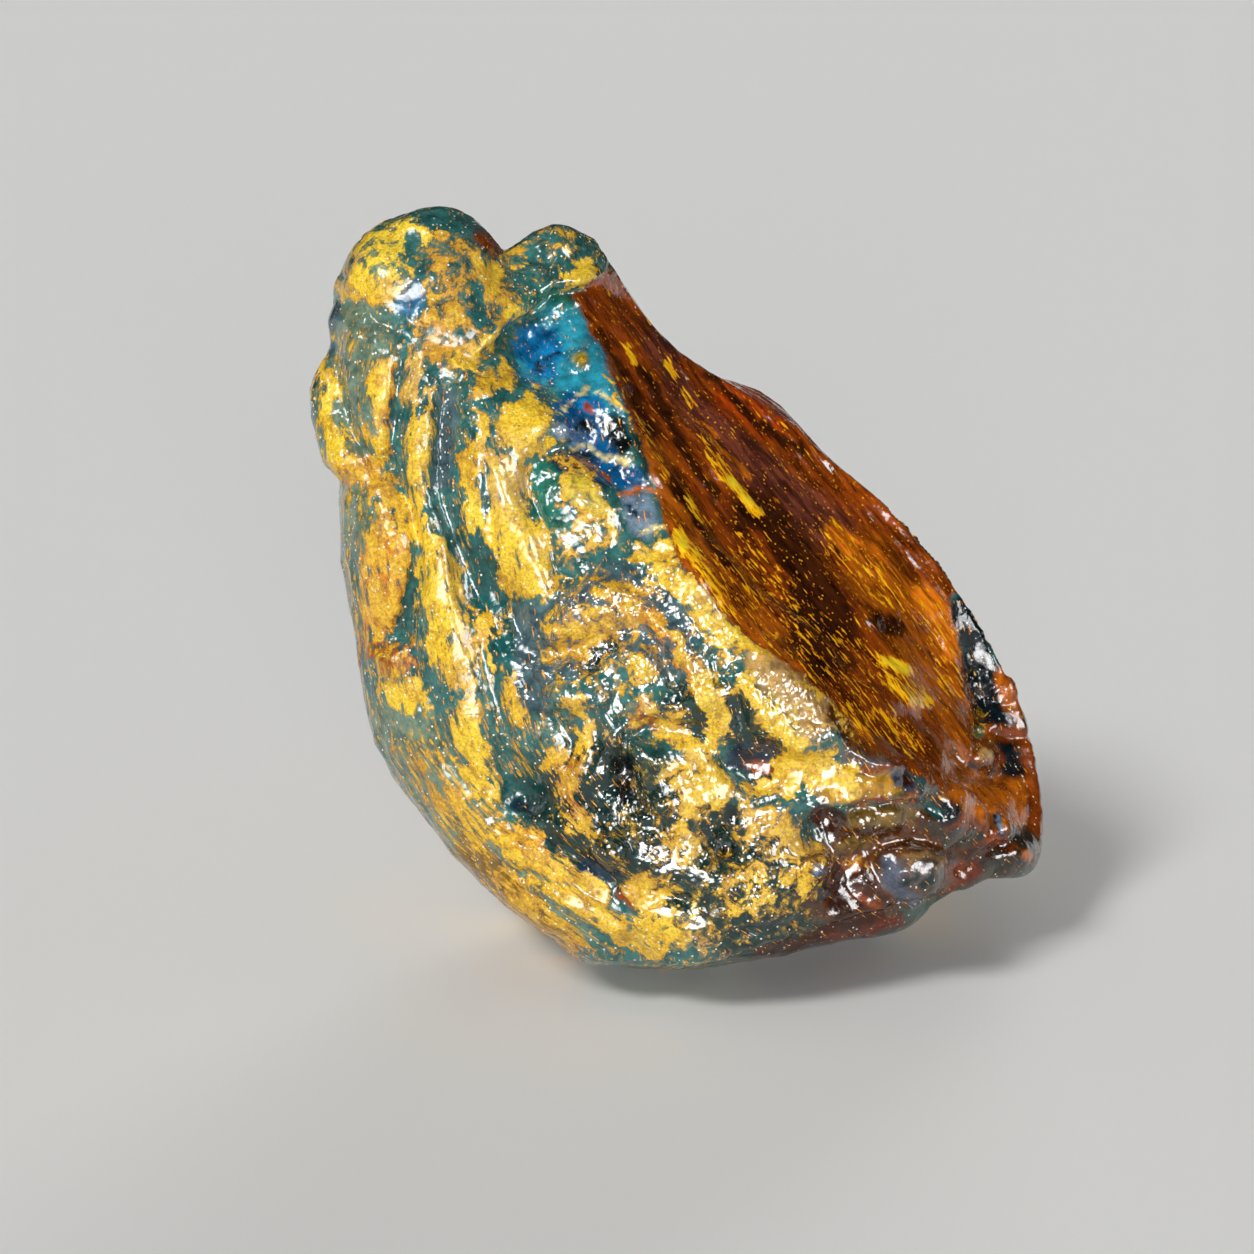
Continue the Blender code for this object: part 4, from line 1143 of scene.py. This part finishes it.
def amber_material():
    material = bpy.data.materials.new("blue amber with rind")
    material.use_nodes = True
    nodes = Nodes(material)
    shader = material.node_tree.nodes["Principled BSDF"]

    object_place = nodes.add("ShaderNodeTexCoord").outputs["Object"]
    in_mm = nodes.scaled(object_place, 1 / MM)
    flow = nodes.attribute("flow", "Vector")
    cover = nodes.attribute("rind")
    rind_colour = nodes.attribute("rind_colour", "Vector")
    amber_colour = nodes.attribute("amber_colour", "Vector")
    clear = nodes.attribute("clear")
    broken = nodes.attribute("broken")
    chip_glint = nodes.attribute("chip_glint")
    grained = nodes.attribute("grained")
    pimpled = nodes.attribute("pimpled")
    polish = nodes.attribute("polish")

    # Rind: crisp flakes where the cover and a lacy noise together pass one half.
    lace = nodes.noise(in_mm, LACE, 5.0, 0.62, 0.5)
    fine_lace = nodes.noise(in_mm, FINE_LACE, 2.0, 0.66, 0.5)
    streaks = nodes.noise(flow, STREAKS, 5.0, 0.66)
    ragged = nodes.blend(grained, lace, streaks)
    level = nodes.math("MULTIPLY_ADD", ragged, 2.7, nodes.math("SUBTRACT", cover, 1.35))
    level = nodes.math("MULTIPLY_ADD", fine_lace, 0.36, nodes.math("SUBTRACT", level, 0.18))
    flakes = nodes.step(level, 0.47, 0.53)
    specks = nodes.step(nodes.spots(in_mm, SPECKS), 0.17, 0.13)
    flecks = nodes.step(nodes.spots(flow, FLECKS), 0.24, 0.18)
    specks = nodes.math("MAXIMUM", specks, nodes.times(flecks, grained))
    specks = nodes.times(specks, nodes.step(cover, 0.02, 0.30))
    rind = nodes.math("MAXIMUM", flakes, specks)

    # Rind colour: lemon where it is thick, stained olive and orange, with a fine grain.
    fine = nodes.noise(in_mm, FINE_GRAIN, 2.0, 0.75)
    broad = nodes.noise(in_mm, BROAD, 3.0, 0.6)
    thick = nodes.step(nodes.math("ADD", level, nodes.times(broad, 0.8)), 0.95, 1.35)
    rind_shade = nodes.mix(nodes.times(thick, 0.60), rind_colour, LEMON)
    stain = nodes.step(nodes.noise(in_mm, STAINS, 5.0, 0.7, 0.6), 0.48, 0.64)
    rind_shade = nodes.mix(nodes.times(stain, 0.75), rind_shade, nodes.mix(broad, OLIVE, ORANGE))
    rind_shade = nodes.dim(rind_shade, nodes.step(fine, 0.30, 0.70, 0.62, 1.14))

    # Amber colour: clouded, with a veil of thin rind round the flakes, and hackled in the break.
    clouds = nodes.noise(in_mm, CLOUDS, 5.0, 0.70, 0.2)
    amber_shade = nodes.dim(amber_colour, nodes.step(clouds, 0.28, 0.72, 0.45, 1.45))
    veil = nodes.times(nodes.step(level, 0.22, 0.52), 0.30)
    amber_shade = nodes.mix(veil, amber_shade, rind_colour)
    hackle = nodes.noise(flow, HACKLE, 5.0, 0.72, 0.2)
    hackle_shade = nodes.dim(amber_colour, nodes.step(hackle, 0.30, 0.70, 0.25, 1.9))
    amber_shade = nodes.mix(broken, amber_shade, hackle_shade)

    # Painted reflections and glints: golden chips and dashes where inner cracks catch the light,
    # gold sparkles, and tiny pale glint dots over everything.
    fibres = nodes.noise(flow, FIBRES, 3.0, 0.62)
    crack_glint_level = nodes.math("MULTIPLY_ADD", fibres, 4.2, nodes.math("SUBTRACT", chip_glint, 2.1))
    chips = nodes.step(crack_glint_level, 0.60, 0.72)
    # painted glints: gold sparkles scattered over the break
    painted_sparkles = nodes.times(nodes.step(nodes.spots(flow, SPARKLE_REPEATS), 0.15, 0.10), broken)
    # the painted crack reflections and the painted sparkles together
    gold = nodes.math("MAXIMUM", chips, nodes.times(painted_sparkles, 0.8))
    crack_glint_colour = nodes.mix(nodes.step(crack_glint_level, 0.60, 0.95), AMBER_ORANGE, GLINT_GOLD)
    crack_glint_colour = nodes.mix(nodes.step(crack_glint_level, 1.10, 1.45), crack_glint_colour, BRIGHTEST_REFLECTION)
    amber_shade = nodes.mix(gold, amber_shade, crack_glint_colour)
    shade = nodes.mix(rind, amber_shade, rind_shade)
    # painted glints: tiny pale dots, gold ones on the break
    painted_glint_dots = nodes.step(nodes.spots(in_mm, GLINT_DOT_REPEATS), 0.16, 0.11)
    shade = nodes.mix(painted_glint_dots, shade, nodes.mix(broken, GLINT_WHITE, GLINT_GOLD))
    nodes.join(shade, shader.inputs["Base Color"])

    opaque = nodes.math("MAXIMUM", rind, gold)
    see_through = nodes.times(clear, nodes.math("SUBTRACT", 1.0, opaque))
    nodes.join(see_through, shader.inputs["Transmission Weight"])
    roughness = nodes.step(nodes.times(rind, fine), 0.0, 0.7, 0.18, 0.50)
    nodes.join(roughness, shader.inputs["Roughness"])
    shader.inputs["IOR"].default_value = AMBER_IOR
    shader.inputs["Specular IOR Level"].default_value = 0.3
    nodes.join(polish, shader.inputs["Coat Weight"])
    shader.inputs["Coat Roughness"].default_value = COAT_ROUGHNESS
    shader.inputs["Coat IOR"].default_value = COAT_IOR

    # Relief too fine for the mesh: pimples and hackle in the gloss, flakes and grain under it.
    domes = nodes.step(nodes.spots(in_mm, GLOSSY_PIMPLES), 0.80, 0.0)
    domes = nodes.times(domes, nodes.math("MULTIPLY_ADD", pimpled, 0.50, 0.06))
    relief = nodes.math("MULTIPLY_ADD", nodes.times(hackle, broken), 0.25, domes)
    nodes.join(nodes.bump(relief), shader.inputs["Coat Normal"])
    relief = nodes.math("MULTIPLY_ADD", rind, 0.25, relief)
    relief = nodes.math("MULTIPLY_ADD", fine, 0.20, relief)
    nodes.join(nodes.bump(relief), shader.inputs["Normal"])

    absorption = nodes.add("ShaderNodeVolumeAbsorption")
    absorption.inputs["Color"].default_value = ABSORBED_DOWN_TO
    absorption.inputs["Density"].default_value = ABSORPTION
    output = material.node_tree.nodes["Material Output"]
    nodes.join(absorption.outputs["Volume"], output.inputs["Volume"])
    return material


def build_amber():
    piece = amber_mesh(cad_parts[NODE])
    paint(piece.data)
    piece.data.materials.clear()
    piece.data.materials.append(amber_material())
    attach(piece, "root")
    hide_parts(NODE)


make_camera()
make_floor()
make_backdrop()
light_scene()
build_amber()
